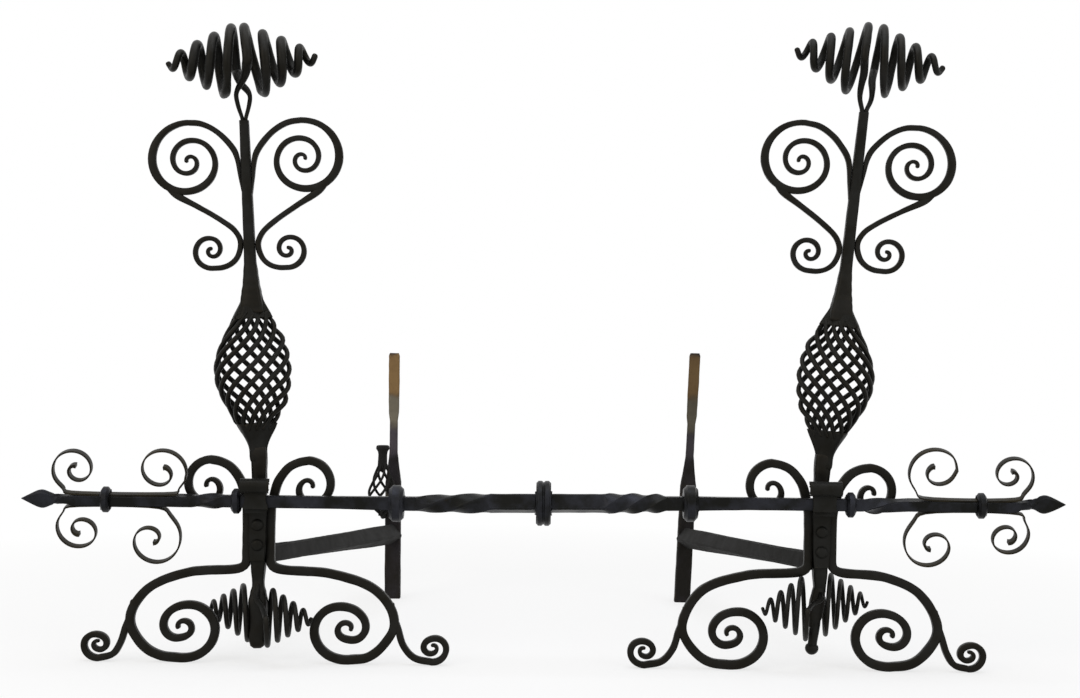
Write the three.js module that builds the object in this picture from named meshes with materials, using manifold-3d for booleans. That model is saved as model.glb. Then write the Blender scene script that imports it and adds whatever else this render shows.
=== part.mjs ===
// A pair of hand-forged wrought-iron andirons and the loose crossbar that ties them.
// Millimetres. +Z is up, +X is to the viewer's right, -Y is the front, and the hearth is Z = 0.
// Each andiron is drawn once: "out" is the distance from its post towards the outside of the
// pair, so the right andiron is the mirror image of the left one.

import * as THREE from 'three';
import { mergeVertices } from 'three/addons/utils/BufferGeometryUtils.js';
import Module from 'manifold-3d';

const wasm = await Module();
wasm.setup();

// ---------------------------------------------------------------- driving dimensions

const FIT_GAP = 0.3;              // between seated pieces

// posts
const POST_SIZE = 18;             // square bar at the crossbar
const POST_NECK_SIZE = 15;        // above the basket
const POST_TOP_SIZE = 12;         // under the fork
const POST_FOOT_Z = 103;          // lower end, where the three bottom prongs start
const POST_BEND_Z = 240;          // the post leans outwards from here
const POST_CHAMFER = 2;
const POST_BEND_HALF = 6;         // half the length over which it bends
const POST_TAPER = 14;            // last stretch under the fork

// left and right differ a little, as a hand-forged pair does
const LEFT_LEAN = 3.25;           // degrees
const RIGHT_LEAN = 5.85;
const LEFT_FORK_Z = 706;
const RIGHT_FORK_Z = 729;
const LEFT_HEART_Z = { outer: 655.5, inner: 652.5 };    // eye of the big heart spiral
const RIGHT_HEART_Z = { outer: 666, inner: 656 };
const LEFT_TOP_COIL_Z = 780;      // axis of the top coils, at the post
const RIGHT_TOP_COIL_Z = 794;
const LEFT_TOP_COIL_BAR = 10;     // bar diameter
const RIGHT_TOP_COIL_BAR = 8;
const LEFT_TOP_COIL_LEAN = { outer: 0.03, inner: -0.148 };  // run of a loop per unit rise
const RIGHT_TOP_COIL_LEAN = { outer: 0, inner: 0.105 };
const LEFT_BOTTOM_COIL_Z = 64;
const RIGHT_BOTTOM_COIL_Z = 85;
const LEFT_BOTTOM_COIL_RADIUS = 37;
const RIGHT_BOTTOM_COIL_RADIUS = 41;

// basket
const BASKET_BOTTOM_Z = 262;
const BASKET_MIDDLE_Z = 380;
const BASKET_TOP_Z = 505;
const BASKET_RADIUS = 50;         // to the rod centres, at the middle
const BASKET_DEPTH_SHARE = 0.78;  // front to back, as a share of the width
const BASKET_RODS = 12;
const BASKET_ROD_DIAMETER = 5.2;
const BASKET_TURNS = 0.56;        // over the open height
const BASKET_OPEN_BOTTOM_Z = 311;
const BASKET_OPEN_TOP_Z = 449;
const BASKET_ROD_SINK = 6;        // into the solid shoulders

// top and bottom coils
const TOP_COIL_RADIUS = 46;
const TOP_COIL_TIP_RADIUS = 5;
const TOP_COIL_LENGTH = 83;       // first crest to tip
const TOP_COIL_TURNS = 3.75;
const TOP_COIL_START = 12.5;      // first crest, from the post axis
const TOP_COIL_RISE = 5;          // the tip lies this much above the first loop's axis
const BOTTOM_COIL_TIP_RADIUS = 5;
const BOTTOM_COIL_LENGTH = 55;
const BOTTOM_COIL_TURNS = 4.25;
const BOTTOM_COIL_START = 12.7;
const BOTTOM_COIL_BAR = 5.2;
const RIGHT_BOTTOM_COIL_SHIFT = 4.5;   // its coils hang a little inwards
const BOTTOM_COIL_OFFSET = 15;    // its axis starts beside the drop, one in front, one behind
const BOTTOM_COIL_SWEEP = 0.36;   // and runs clear of the leg scrolls, per unit outwards
const COIL_TIP_BAR = 3.2;
const PRONG_BAR = 5.6;            // where a prong leaves the post
const PRONG_BULGE = 8;            // half spread of the two prongs above the fork

// heart scrolls, measured from the eye of the big spiral
const HEART_EYE_OUT = 74;
const HEART_RADIUS = 54;          // at the crest
const HEART_PITCH = 26.5;         // inward step per turn
const HEART_TURNS = 1.9;
const HEART_BAR = 9;
const HEART_SCARF = 34;           // its tapered lower end runs this far below the eye
const HEART_TIP_BAR = 4.4;
const HEART_DEPTH = 9;
const HEART_EYE_OUT_SMALL = 49.5;
const HEART_EYE_DROP_SMALL = 117;
const HEART_RADIUS_SMALL = 23;
const HEART_PITCH_SMALL = 15;
const HEART_TURNS_SMALL = 1.3;

// legs
const LEG_BAR = 11.6;             // thickness in the plane of the scrolls
const LEG_TIP_BAR = 5;
const LEG_DEPTH = 12.7;
const LEFT_ARCH_Z = 123.5;        // centre line of the arch at the block
const RIGHT_ARCH_Z = 128.5;
const LEG_EYE_Z = 45;             // eye of the big scroll
const LEG_SCROLL_RADII = [44.5, 28, 21.5, 17, 17, 10, 4];  // after each quarter turn
// distance from the post to the eye of the big scroll, the shoulder and the eye of the foot,
// and how much higher than the others the leg's small top scroll stands
const LEG_REACH = {
  left_outer: { eye: 100, shoulder: 166, foot: 210, rise: 0 },
  left_inner: { eye: 118, shoulder: 177.5, foot: 230, rise: 0 },
  right_outer: { eye: 92, shoulder: 154, foot: 198, rise: 0 },
  right_inner: { eye: 116.5, shoulder: 178, foot: 229.5, rise: 4.5 },
};
const FOOT_EYE_Z = 19.6;
const FOOT_BAR = 8.4;
const FOOT_PITCH = 9;
const FOOT_TURNS = 1.3;
const RISER_SCROLL_OUT = 65;      // the small scroll above the crossbar
const RISER_SCROLL_Z = 233.5;
const RISER_SCROLL_RADIUS = 32.2;
const RISER_SCROLL_PITCH = 24.5;
const RISER_SCROLL_TURNS = 1.17;
const SOLE_DEPTH = 0.7;           // worn flat under each scroll that stands on the hearth

// billet bar and rear post
const BILLET_SIZE = 23;
const BILLET_REAR_SIZE = 25;       // left thicker where it carries the log ends
const BILLET_END_SIZE = 32;        // flared where it shoulders against the rear post
const BILLET_CHAMFER = 2.5;
const BILLET_LENGTH = 620;        // front to back, post axis to rear post axis
const BILLET_TOE_IN = 124;        // the rear stands this much nearer the middle
const BILLET_FRONT_Z = 141;
const BILLET_REAR_Z = 105;
const BILLET_FRONT_TURN = 4;      // degrees
const BILLET_REAR_TURN = 38;
const LEFT_REAR_LEAN = 0.3;       // degrees, outwards
const RIGHT_REAR_LEAN = 2.3;
const REAR_LEG_WIDTH = 25;
const REAR_LEG_DEPTH = 20;
const REAR_WAIST_WIDTH = 12.5;
const REAR_PADDLE_WIDTH = 17.5;
const REAR_PADDLE_DEPTH = 7;
const REAR_SHOULDER_Z = 190;
const REAR_WAIST_Z = 262;
const REAR_PADDLE_Z = 306;
const LEFT_REAR_TOP_Z = 403;
const RIGHT_REAR_TOP_Z = 409;
const REAR_TAPER_RISE = 22;        // over which the leg draws down to the waist
const REAR_PADDLE_RISE = 14;       // over which the waist is flattened
const REAR_CORNER = 4;             // rounding of the paddle's end
const TENON_RADIUS = 6;
const TENON_PROUD = 3;             // behind the rear post

// crossbar
const BAR_Z = 215;
const BAR_Y = -24;
const BAR_CENTRE_SIZE = 22.3;
const BAR_INNER_SIZE = 17;
const BAR_HOOK_SIZE = 15.4;
const BAR_END_SIZE = 13.8;
const BAR_NECK_SIZE = 10.5;
const HOOK_ZONE_START = 262;      // one size and level from here to the outer collar
const BAR_FALL = 2.8;             // hand-forged wander: the left hook zone lies this much low
const BAR_RISE = 2.6;             // and the right one this much high
const STRIPS_RISE = 3.6;
const SPEAR_RISE = 6.4;
const LONG_TWIST_TURN = 198;      // degrees
const RIGHT_TWIST_TURN = 252;
const SHORT_TWIST_TURN = 108;
const RIGHT_SHORT_TWIST_TURN = 72;
const BAR_CENTRE_ROLL = -18;
const LEFT_TWIST_INNER = 68;
const LEFT_TWIST_OUTER = 164;
const RIGHT_TWIST_INNER = 77;
const RIGHT_TWIST_OUTER = 158;
const BAR_CENTRE_HALF = 72;       // plain middle
const BAR_INNER_START = 170;      // drawn down to here beyond the long twists
const SHORT_TWIST_START = 410;
const SHORT_TWIST_END = 452;
const STRIPS_START_X = 470;
const SPEAR_START = 628;
const SPEAR_WIDEST = 646;
const SPEAR_TIP = 671;
const SPEAR_WIDTH = 21;
const SPEAR_DEPTH = 9;
const BAR_NECK_START = 614;

// collars on the crossbar
const CENTRE_COLLAR_RADIUS = 29;
const CENTRE_COLLAR_LENGTH = 19;
const INNER_COLLAR_X = 189;
const INNER_COLLAR_RADIUS = 23.5;
const INNER_COLLAR_LENGTH = 18;
const OUTER_COLLAR_X = 395;
const OUTER_COLLAR_RADIUS = 16.2;
const OUTER_COLLAR_LENGTH = 11;
const END_COLLAR_X = 563;
const END_COLLAR_RADIUS = 16.6;
const END_COLLAR_LENGTH = 11;

// scroll strips on the crossbar ends
const STRIP_THICKNESS = 2.2;
const STRIP_DEPTH = 9;
const STRIP_LIE = 18;             // degrees, the strips tilt with the bar's ends
const STRIPS_END_X = 606;
// each curl: eye from the end collar along the bar, eye from the bar's axis, and radius after
// each quarter turn
const STRIP_CURLS = {
  left_upper: {
    post: { run: 76.5, off: 41, radii: [29, 27.7, 27.2, 18.7, 7.6, 4.2] },
    tip: { run: 35, off: 40.8, radii: [30.2, 25.7, 18.7, 14.2, 9.6, 5.6] },
  },
  left_lower: {
    post: { run: 58, off: 53.5, radii: [35.4, 33.5, 24.4, 13.6, 7.8, 5.8] },
    tip: { run: 37, off: 43, radii: [28.3, 23.2, 21.2, 14.2, 8.6, 5.6] },
  },
  right_upper: {
    post: { run: 64, off: 49.2, radii: [31.5, 27.5, 28.5, 18.5, 7, 4.2] },
    tip: { run: 34.5, off: 42.6, radii: [28.3, 23.2, 18, 12, 8, 5.4] },
  },
  right_lower: {
    post: { run: 60.5, off: 56, radii: [34.1, 28.3, 23.8, 14.2, 8, 5.6] },
    tip: { run: 39, off: 44.9, radii: [25.1, 19.9, 20.2, 15.4, 8.4, 5.4] },
  },
};

// crossbar hook
const HOOK_THICKNESS = 6;
const HOOK_SHANK_WIDTH = 20;
const HOOK_FRONT_WIDTH = 28;
const HOOK_LIP_WIDTH = 40;
const HOOK_LIP_RADIUS = 7;
const HOOK_LIP_Z = 236;
const HOOK_FOOT_Z = 136;
const RIVET_RADIUS = 4;
const RIVET_HEAD_RADIUS = 7.6;
const RIVET_HEAD_HEIGHT = 4;
const RIVET_LENGTH = 14;
const RIVET_UPPER_Z = 181;
const RIVET_LOWER_Z = 155;

// drop under the post
const LEFT_DROP_LEAN = 0;         // degrees, inwards
const RIGHT_DROP_LEAN = 7;
const LEFT_DROP_RADIUS = 11;
const LEFT_DROP_BOTTOM_Z = 17;
const RIGHT_DROP_RADIUS = 5.8;
const RIGHT_DROP_BALL_RADIUS = 8.8;
const RIGHT_DROP_BOTTOM_Z = 20;
const DROP_NECK_RADIUS = 3;

// basket bud on the left rear post
const BUD_RADIUS = 23;
const BUD_BOTTOM_Z = 142;
const BUD_WAIST_Z = 222;
const BUD_TOP_Z = 253;
const BUD_RODS = 7;
const BUD_ROD_DIAMETER = 4.6;
const BUD_NECK_RADIUS = 8;
const BUD_HEAD_RADIUS = 10.5;
const BUD_NECK_HEIGHT = 14;
const BUD_STEM = 8;

// the left andiron touches its collar, the right one stands a little further in
const RIGHT_SLACK = 9;

// line of sight across the coils: each loop lies a little skewed on its axis
const COIL_SKEW = 0.17;

// ---------------------------------------------------------------- materials

const iron = (color, roughness) =>
  new THREE.MeshStandardMaterial({ color, roughness, metalness: 0.6 });
const forgedIron = iron('#1b1c1d', 0.55);
const burntIron = iron('#6b5f55', 0.75);
const crossbarIron = iron('#1e2023', 0.5);

// ---------------------------------------------------------------- geometry helpers

const V = (x, y, z) => new THREE.Vector3(x, y, z);
const lerp = THREE.MathUtils.lerp;
const rad = THREE.MathUtils.degToRad;
const smooth = (t) => THREE.MathUtils.smoothstep(t, 0, 1);

// Value at t of a list of [t, value] stops, with straight runs between them.
function along(stops, t) {
  if (t <= stops[0][0]) return stops[0][1];
  for (let i = 1; i < stops.length; i += 1) {
    const [t0, v0] = stops[i - 1];
    const [t1, v1] = stops[i];
    if (t <= t1) return lerp(v0, v1, (t - t0) / (t1 - t0));
  }
  return stops[stops.length - 1][1];
}

function signedVolume(position, index) {
  const [a, b, c] = [V(), V(), V()];
  let volume = 0;
  for (let i = 0; i < index.length; i += 3) {
    a.fromArray(position, index[i] * 3);
    b.fromArray(position, index[i + 1] * 3);
    c.fromArray(position, index[i + 2] * 3);
    volume += a.dot(b.cross(c)) / 6;
  }
  return volume;
}

// A closed body through rings of equal length, capped at both ends.
function loft(rings) {
  const sides = rings[0].length;
  const position = rings.flat().flatMap((p) => [p.x, p.y, p.z]);
  const index = [];
  for (let r = 0; r < rings.length - 1; r += 1) {
    for (let s = 0; s < sides; s += 1) {
      const a = r * sides + s;
      const b = r * sides + ((s + 1) % sides);
      index.push(a, b, b + sides, a, b + sides, a + sides);
    }
  }
  const last = (rings.length - 1) * sides;
  for (let s = 1; s < sides - 1; s += 1) {
    index.push(0, s + 1, s, last, last + s, last + s + 1);
  }
  if (signedVolume(position, index) < 0) index.reverse();
  const geometry = new THREE.BufferGeometry();
  geometry.setAttribute('position', new THREE.Float32BufferAttribute(position, 3));
  geometry.setIndex(index);
  return geometry;
}

// A flat-sided bar along a path of [x, z] points; "depth" is its size along Y.
function flatBar(path, thickness, depth, y = 0) {
  const rings = path.map(([x, z], i) => {
    const before = path[Math.max(i - 1, 0)];
    const after = path[Math.min(i + 1, path.length - 1)];
    const run = Math.hypot(after[0] - before[0], after[1] - before[1]);
    const t = i / (path.length - 1);
    const half = thickness(t) / 2 / run;
    const nx = -(after[1] - before[1]) * half;
    const nz = (after[0] - before[0]) * half;
    const deep = depth / 2;
    return [V(x + nx, y - deep, z + nz), V(x + nx, y + deep, z + nz),
      V(x - nx, y + deep, z - nz), V(x - nx, y - deep, z - nz)];
  });
  return loft(rings);
}

// A round bar along a path of 3-D points, its frame carried on from ring to ring.
function roundBar(path, diameter, sides) {
  let normal = null;
  const rings = path.map((p, i) => {
    const tangent = path[Math.min(i + 1, path.length - 1)].clone()
      .sub(path[Math.max(i - 1, 0)]).normalize();
    if (!normal) normal = Math.abs(tangent.z) < 0.9 ? V(0, 0, 1) : V(1, 0, 0);
    normal = normal.clone().addScaledVector(tangent, -normal.dot(tangent)).normalize();
    const side = tangent.clone().cross(normal);
    const radius = diameter(i / (path.length - 1)) / 2;
    return Array.from({ length: sides }, (_, s) => {
      const angle = (s / sides) * 2 * Math.PI;
      return p.clone()
        .addScaledVector(normal, radius * Math.cos(angle))
        .addScaledVector(side, radius * Math.sin(angle));
    });
  });
  return loft(rings);
}

// Points on a scroll: the radius shrinks by "pitch" in each turn. Angles in degrees.
function spiral({ eye, radius, pitch, from, turns, sense, steps }) {
  return Array.from({ length: steps + 1 }, (_, i) => {
    const turned = (turns * i) / steps;
    const r = radius - pitch * turned;
    const angle = rad(from + sense * 360 * turned);
    return [eye[0] + r * Math.cos(angle), eye[1] + r * Math.sin(angle)];
  });
}

// Points on a scroll whose radius is given after each quarter turn.
function quarterScroll({ eye, radii, from, sense, perQuarter }) {
  const turns = radii.map((_, i) => i);
  const radius = new THREE.CubicInterpolant(turns, radii, 1);
  const steps = (radii.length - 1) * perQuarter;
  return Array.from({ length: steps + 1 }, (_, i) => {
    const quarters = i / perQuarter;
    const r = radius.evaluate(quarters)[0];
    const angle = rad(from + sense * 90 * quarters);
    return [eye[0] + r * Math.cos(angle), eye[1] + r * Math.sin(angle)];
  });
}

// An even number of points on a smooth curve through a few [x, z] points.
function curveThrough(points, count) {
  const curve = new THREE.CatmullRomCurve3(points.map(([x, z]) => V(x, 0, z)), false,
    'centripetal');
  return curve.getSpacedPoints(count).map((p) => [p.x, p.z]);
}

// Height of the crossbar's centre line over its nominal level.
const barLift = (x) => along([[-HOOK_ZONE_START, -BAR_FALL], [-BAR_INNER_START, -BAR_FALL - 0.4],
  [-LEFT_TWIST_INNER, -BAR_FALL / 2], [0, -0.5], [HOOK_ZONE_START, BAR_RISE],
  [SHORT_TWIST_END, BAR_RISE], [STRIPS_START_X, STRIPS_RISE], [STRIPS_END_X, STRIPS_RISE],
  [SPEAR_START, SPEAR_RISE]], x);

// Lie of the square bar along its length, in radians: four twists, all of one hand.
const barRoll = (x) => {
  const left = BAR_CENTRE_ROLL + LONG_TWIST_TURN;
  const right = BAR_CENTRE_ROLL - RIGHT_TWIST_TURN;
  return rad(along([[-SHORT_TWIST_END, left + SHORT_TWIST_TURN], [-SHORT_TWIST_START, left],
    [-LEFT_TWIST_OUTER, left], [-LEFT_TWIST_INNER, BAR_CENTRE_ROLL],
    [RIGHT_TWIST_INNER, BAR_CENTRE_ROLL], [RIGHT_TWIST_OUTER, right],
    [SHORT_TWIST_START, right], [SHORT_TWIST_END, right - RIGHT_SHORT_TWIST_TURN]], x));
};

const mirrored = (path, side) => path.map(([x, z]) => [side * x, z]);

// A square ring with chamfered corners, turned by "roll" about its own centre.
function squareRing(centre, size, chamfer, acrossU, acrossV, roll = 0, sizeV = size) {
  const [a, b] = [size / 2, sizeV / 2];
  const c = Math.min(chamfer, a * 0.6, b * 0.6);
  const corners = [[a, b - c], [a - c, b], [c - a, b], [-a, b - c],
    [-a, c - b], [c - a, -b], [a - c, -b], [a, c - b]];
  const [cos, sin] = [Math.cos(roll), Math.sin(roll)];
  return corners.map(([u, v]) => centre.clone()
    .addScaledVector(acrossU, u * cos - v * sin)
    .addScaledVector(acrossV, u * sin + v * cos));
}

// ---------------------------------------------------------------- solids

function toSolid(geometry) {
  const bare = geometry.clone();
  bare.deleteAttribute('normal');
  bare.deleteAttribute('uv');
  const merged = mergeVertices(bare, 1e-4);
  return new wasm.Manifold(new wasm.Mesh({
    numProp: 3,
    vertProperties: new Float32Array(merged.attributes.position.array),
    triVerts: new Uint32Array(merged.index.array),
  }));
}

function toGeometry(solid) {
  const mesh = solid.getMesh();
  const geometry = new THREE.BufferGeometry();
  geometry.setAttribute('position', new THREE.BufferAttribute(mesh.vertProperties, 3));
  geometry.setIndex(new THREE.BufferAttribute(mesh.triVerts, 1));
  return geometry;
}

const fuse = (...parts) => toGeometry(parts.map(toSolid).reduce((a, b) => a.add(b)));
const cut = (body, ...tools) =>
  toGeometry(tools.map(toSolid).reduce((a, b) => a.subtract(b), toSolid(body)));

// Takes off whatever lies below the hearth, which leaves a worn flat.
function trimSole(geometry) {
  const [width, depth, height] = [2 * SPEAR_TIP, 4 * LEG_DEPTH, 2 * LEG_EYE_Z];
  const below = new THREE.BoxGeometry(width, depth, height).translate(0, 0, -height / 2);
  return cut(geometry, below);
}

const object = new THREE.Group();

function piece(parent, name, geometry, material = forgedIron) {
  const mesh = new THREE.Mesh(geometry, material);
  mesh.name = name;
  parent.add(mesh);
  return mesh;
}

// ---------------------------------------------------------------- posts

const postSizeAt = (z, forkZ) =>
  along([[BASKET_TOP_Z, POST_NECK_SIZE], [forkZ, POST_TOP_SIZE]], z);

// Square bar up to the bend, then leaning, up to the foot of the basket. The hook's rivets
// sit in blind holes in its front.
function lowerPost(side, lean) {
  const up = V(side * Math.sin(lean), 0, Math.cos(lean));
  const pivot = V(0, 0, POST_BEND_Z);
  const rings = [POST_FOOT_Z, POST_BEND_Z - POST_BEND_HALF].map((z) =>
    squareRing(V(0, 0, z), POST_SIZE, POST_CHAMFER, V(1, 0, 0), V(0, 1, 0)));
  for (const rise of [POST_BEND_HALF, BASKET_BOTTOM_Z - POST_BEND_Z]) {
    rings.push(squareRing(pivot.clone().addScaledVector(up, rise), POST_SIZE, POST_CHAMFER,
      V(up.z, 0, -up.x), V(0, 1, 0)));
  }
  const holes = [RIVET_UPPER_Z, RIVET_LOWER_Z].map((z) =>
    new THREE.CylinderGeometry(RIVET_RADIUS + FIT_GAP, RIVET_RADIUS + FIT_GAP, RIVET_LENGTH, 10)
      .translate(0, -POST_SIZE / 2, z));
  return cut(loft(rings), ...holes);
}

// Tapered square bar from the basket to the fork.
function upperPost(forkZ) {
  const zs = [BASKET_TOP_Z + FIT_GAP, (BASKET_TOP_Z + forkZ) / 2, forkZ - POST_TAPER, forkZ];
  return loft(zs.map((z) => squareRing(V(0, 0, z), postSizeAt(z, forkZ), POST_CHAMFER,
    V(1, 0, 0), V(0, 1, 0))));
}

// ---------------------------------------------------------------- baskets

// Teardrop section of a basket: a point inwards and a full round outwards, walked by length
// so that rods keep an even spacing along it. Returns unit [out, y] for a share s of the way.
const teardrop = (() => {
  const count = 240;
  const raw = Array.from({ length: count + 1 }, (_, i) => {
    const t = (i / count) * 2 * Math.PI;
    return [-Math.cos(t), Math.sin(t) * Math.sin(t / 2) ** 1.2 / 0.84];
  });
  const length = [0];
  for (let i = 1; i <= count; i += 1) {
    length.push(length[i - 1]
      + Math.hypot(raw[i][0] - raw[i - 1][0], (raw[i][1] - raw[i - 1][1]) * BASKET_DEPTH_SHARE));
  }
  return (s) => {
    const target = (s - Math.floor(s)) * length[count];
    const i = Math.max(1, length.findIndex((l) => l >= target));
    const t = (target - length[i - 1]) / (length[i] - length[i - 1]);
    return [lerp(raw[i - 1][0], raw[i][0], t), lerp(raw[i - 1][1], raw[i][1], t)];
  };
})();

// Radius of the basket's outline at a height, to the rod centres.
function basketRadius(z) {
  const rising = z > BASKET_MIDDLE_Z;
  const end = rising ? BASKET_TOP_Z : BASKET_BOTTOM_Z;
  const neck = (rising ? POST_NECK_SIZE : POST_SIZE) / 2;
  const swell = rising ? 2.3 : 2.1;
  const u = (z - BASKET_MIDDLE_Z) / (end - BASKET_MIDDLE_Z);
  return neck + (BASKET_RADIUS - neck) * Math.cos((Math.PI / 2) * Math.min(u, 1)) ** swell;
}

// One ring of a solid shoulder: square at the post, teardrop at the rods.
function shoulderRing(side, z, postSize, share, grow) {
  const count = 16;
  const radius = basketRadius(z) + grow;
  return Array.from({ length: count }, (_, i) => {
    const [out, y] = teardrop(i / count);
    const round = V(side * out * radius, y * radius * BASKET_DEPTH_SHARE, z);
    const angle = Math.atan2(round.y, round.x);
    const reach = postSize / 2 / Math.max(Math.abs(Math.cos(angle)), Math.abs(Math.sin(angle)));
    const square = V(reach * Math.cos(angle), reach * Math.sin(angle), z);
    return square.lerp(round, share);
  });
}

function basket(side) {
  const rodRadius = BASKET_ROD_DIAMETER / 2;
  const [low, high] = [BASKET_OPEN_BOTTOM_Z - BASKET_ROD_SINK, BASKET_OPEN_TOP_Z + BASKET_ROD_SINK];
  const open = BASKET_OPEN_TOP_Z - BASKET_OPEN_BOTTOM_Z;
  const steps = 9;
  const rods = Array.from({ length: BASKET_RODS }, (_, rod) => {
    const path = Array.from({ length: steps + 1 }, (_, i) => {
      const z = lerp(low, high, i / steps);
      const turned = (BASKET_TURNS * (z - BASKET_MIDDLE_Z)) / open;
      const [out, y] = teardrop(rod / BASKET_RODS + turned);
      const radius = basketRadius(z);
      return V(side * out * radius, y * radius * BASKET_DEPTH_SHARE, z);
    });
    return roundBar(path, () => BASKET_ROD_DIAMETER, 4);
  });
  const shoulder = (zPost, zRods, postSize) => loft([0, 0.35, 0.7, 1].map((t) => {
    const z = lerp(zPost, zRods, t);
    return shoulderRing(side, z, postSize, smooth(t * 1.6), rodRadius * t);
  }));
  return fuse(
    shoulder(BASKET_BOTTOM_Z + FIT_GAP, BASKET_OPEN_BOTTOM_Z, POST_SIZE),
    shoulder(BASKET_TOP_Z, BASKET_OPEN_TOP_Z, POST_NECK_SIZE),
    ...rods,
  );
}

// ---------------------------------------------------------------- coils

// A prong that leaves the post at "start" and winds into a conical coil along X. "heading" is
// +1 or -1 along X, "turnSide" +1 when it first swings to the back, "up" +1 above the post.
// "lean" and "skew" tilt the loops, "bulge" spreads the prong, "offset" and "sweep" carry the
// axis to one side.
function coil({ start, heading, turnSide, axisZ, crest, length, radius, tipRadius, turns, bar,
  bulge = 0, shift = 0, offset = 0, sweep = 0, skew = 0, lean = 0, rise = 0, up = 1 }) {
  const perTurn = up > 0 ? 11 : 10;
  const steps = Math.round((turns + 0.25) * perTurn);
  const wound = Array.from({ length: steps + 1 }, (_, i) => {
    const turned = (i / steps) * (turns + 0.25) - 0.25;
    const angle = 2 * Math.PI * turned;
    const share = Math.max(turned, 0) / turns;
    const r = lerp(radius, tipRadius, share);
    const run = crest + length * (turned / turns);
    const y = -turnSide * r * Math.sin(angle) + turnSide * (offset + sweep * run);
    const lift = up * r * Math.cos(angle);
    return V(heading * run + shift + skew * y + lean * lift, y, axisZ + lift + rise * share);
  });
  const join = wound[0];
  const towards = (x, y, z) => V(x, lerp(start.y, join.y, y), lerp(start.z, join.z, z));
  const prong = new THREE.CatmullRomCurve3([
    start.clone().add(V(0, 0, up * 3)),
    towards(start.x + Math.sign(start.x) * bulge * 0.6, 0.08, 0.25),
    towards(start.x + Math.sign(start.x) * bulge * 0.75, 0.2, 0.45),
    towards(lerp(start.x, join.x, 0.55), 0.5, 0.7),
    join,
  ], false, 'centripetal').getSpacedPoints(9);
  const path = [start, ...prong.slice(0, -1), ...wound];
  const thick = (t) => along([[0, PRONG_BAR], [0.16, bar], [0.7, bar * 0.9], [1, COIL_TIP_BAR]], t);
  return { geometry: roundBar(path, thick, up > 0 ? 6 : 5), path, thick };
}

// Least clear distance between turns that are not neighbours along the bar.
function leastTurnGap({ path, thick }, apart = 7) {
  let least = Infinity;
  for (let i = 0; i < path.length; i += 1) {
    for (let j = i + apart; j < path.length; j += 1) {
      const bars = (thick(i / (path.length - 1)) + thick(j / (path.length - 1))) / 2;
      least = Math.min(least, path[i].distanceTo(path[j]) - bars);
    }
  }
  return least;
}

// ---------------------------------------------------------------- heart scrolls

function heartScroll(side, direction, eyeZ, forkZ) {
  const x = side * direction;
  const eye = [HEART_EYE_OUT, eyeZ];
  const beside = (dz, share = 0.5) =>
    [postSizeAt(eyeZ - HEART_SCARF, forkZ) / 2 + FIT_GAP + HEART_BAR * share, eyeZ + dz];
  const leadIn = [beside(-HEART_SCARF, 0.12), beside(-HEART_SCARF / 4, 0.48), beside(6), [HEART_EYE_OUT * 0.25, eyeZ + HEART_RADIUS * 0.5],
    [HEART_EYE_OUT * 0.5, eyeZ + HEART_RADIUS * 0.85]];
  const big = spiral({ eye, radius: HEART_RADIUS, pitch: HEART_PITCH, from: 90,
    turns: HEART_TURNS, sense: -1, steps: 24 });
  const main = [...curveThrough([...leadIn, big[0], big[1]], 8).slice(0, -2), ...big];
  const smallEye = [HEART_EYE_OUT_SMALL, eyeZ - HEART_EYE_DROP_SMALL];
  const small = spiral({ eye: smallEye, radius: HEART_RADIUS_SMALL, pitch: HEART_PITCH_SMALL,
    from: -90, turns: HEART_TURNS_SMALL, sense: 1, steps: 14 });
  const touchZ = smallEye[1] + 7;
  const touch = [postSizeAt(touchZ, forkZ) / 2 + FIT_GAP + HEART_BAR / 2, touchZ];
  const weld = big[5];
  const branchRun = [
    [weld[0], weld[1]],
    [lerp(weld[0], HEART_EYE_OUT, 0.45), eyeZ - HEART_RADIUS * 0.86],
    [lerp(touch[0], HEART_EYE_OUT, 0.35), touchZ + 27],
    touch,
    [lerp(touch[0], smallEye[0], 0.32), smallEye[1] - HEART_RADIUS_SMALL * 0.72],
  ];
  const branch = [...curveThrough([...branchRun, small[0], small[1]], 13).slice(0, -2), ...small];
  const mainBar = (t) => along([[0, HEART_BAR * 0.2], [0.07, HEART_BAR * 0.88],
    [0.25, HEART_BAR], [0.42, HEART_BAR], [0.55, HEART_BAR * 0.8], [1, HEART_TIP_BAR]], t);
  const branchBar = (t) => along([[0, HEART_BAR], [0.5, HEART_BAR * 0.9], [1, HEART_TIP_BAR]], t);
  return fuse(flatBar(mirrored(main, x), mainBar, HEART_DEPTH),
    flatBar(mirrored(branch, x), branchBar, HEART_DEPTH));
}

// ---------------------------------------------------------------- legs

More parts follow.
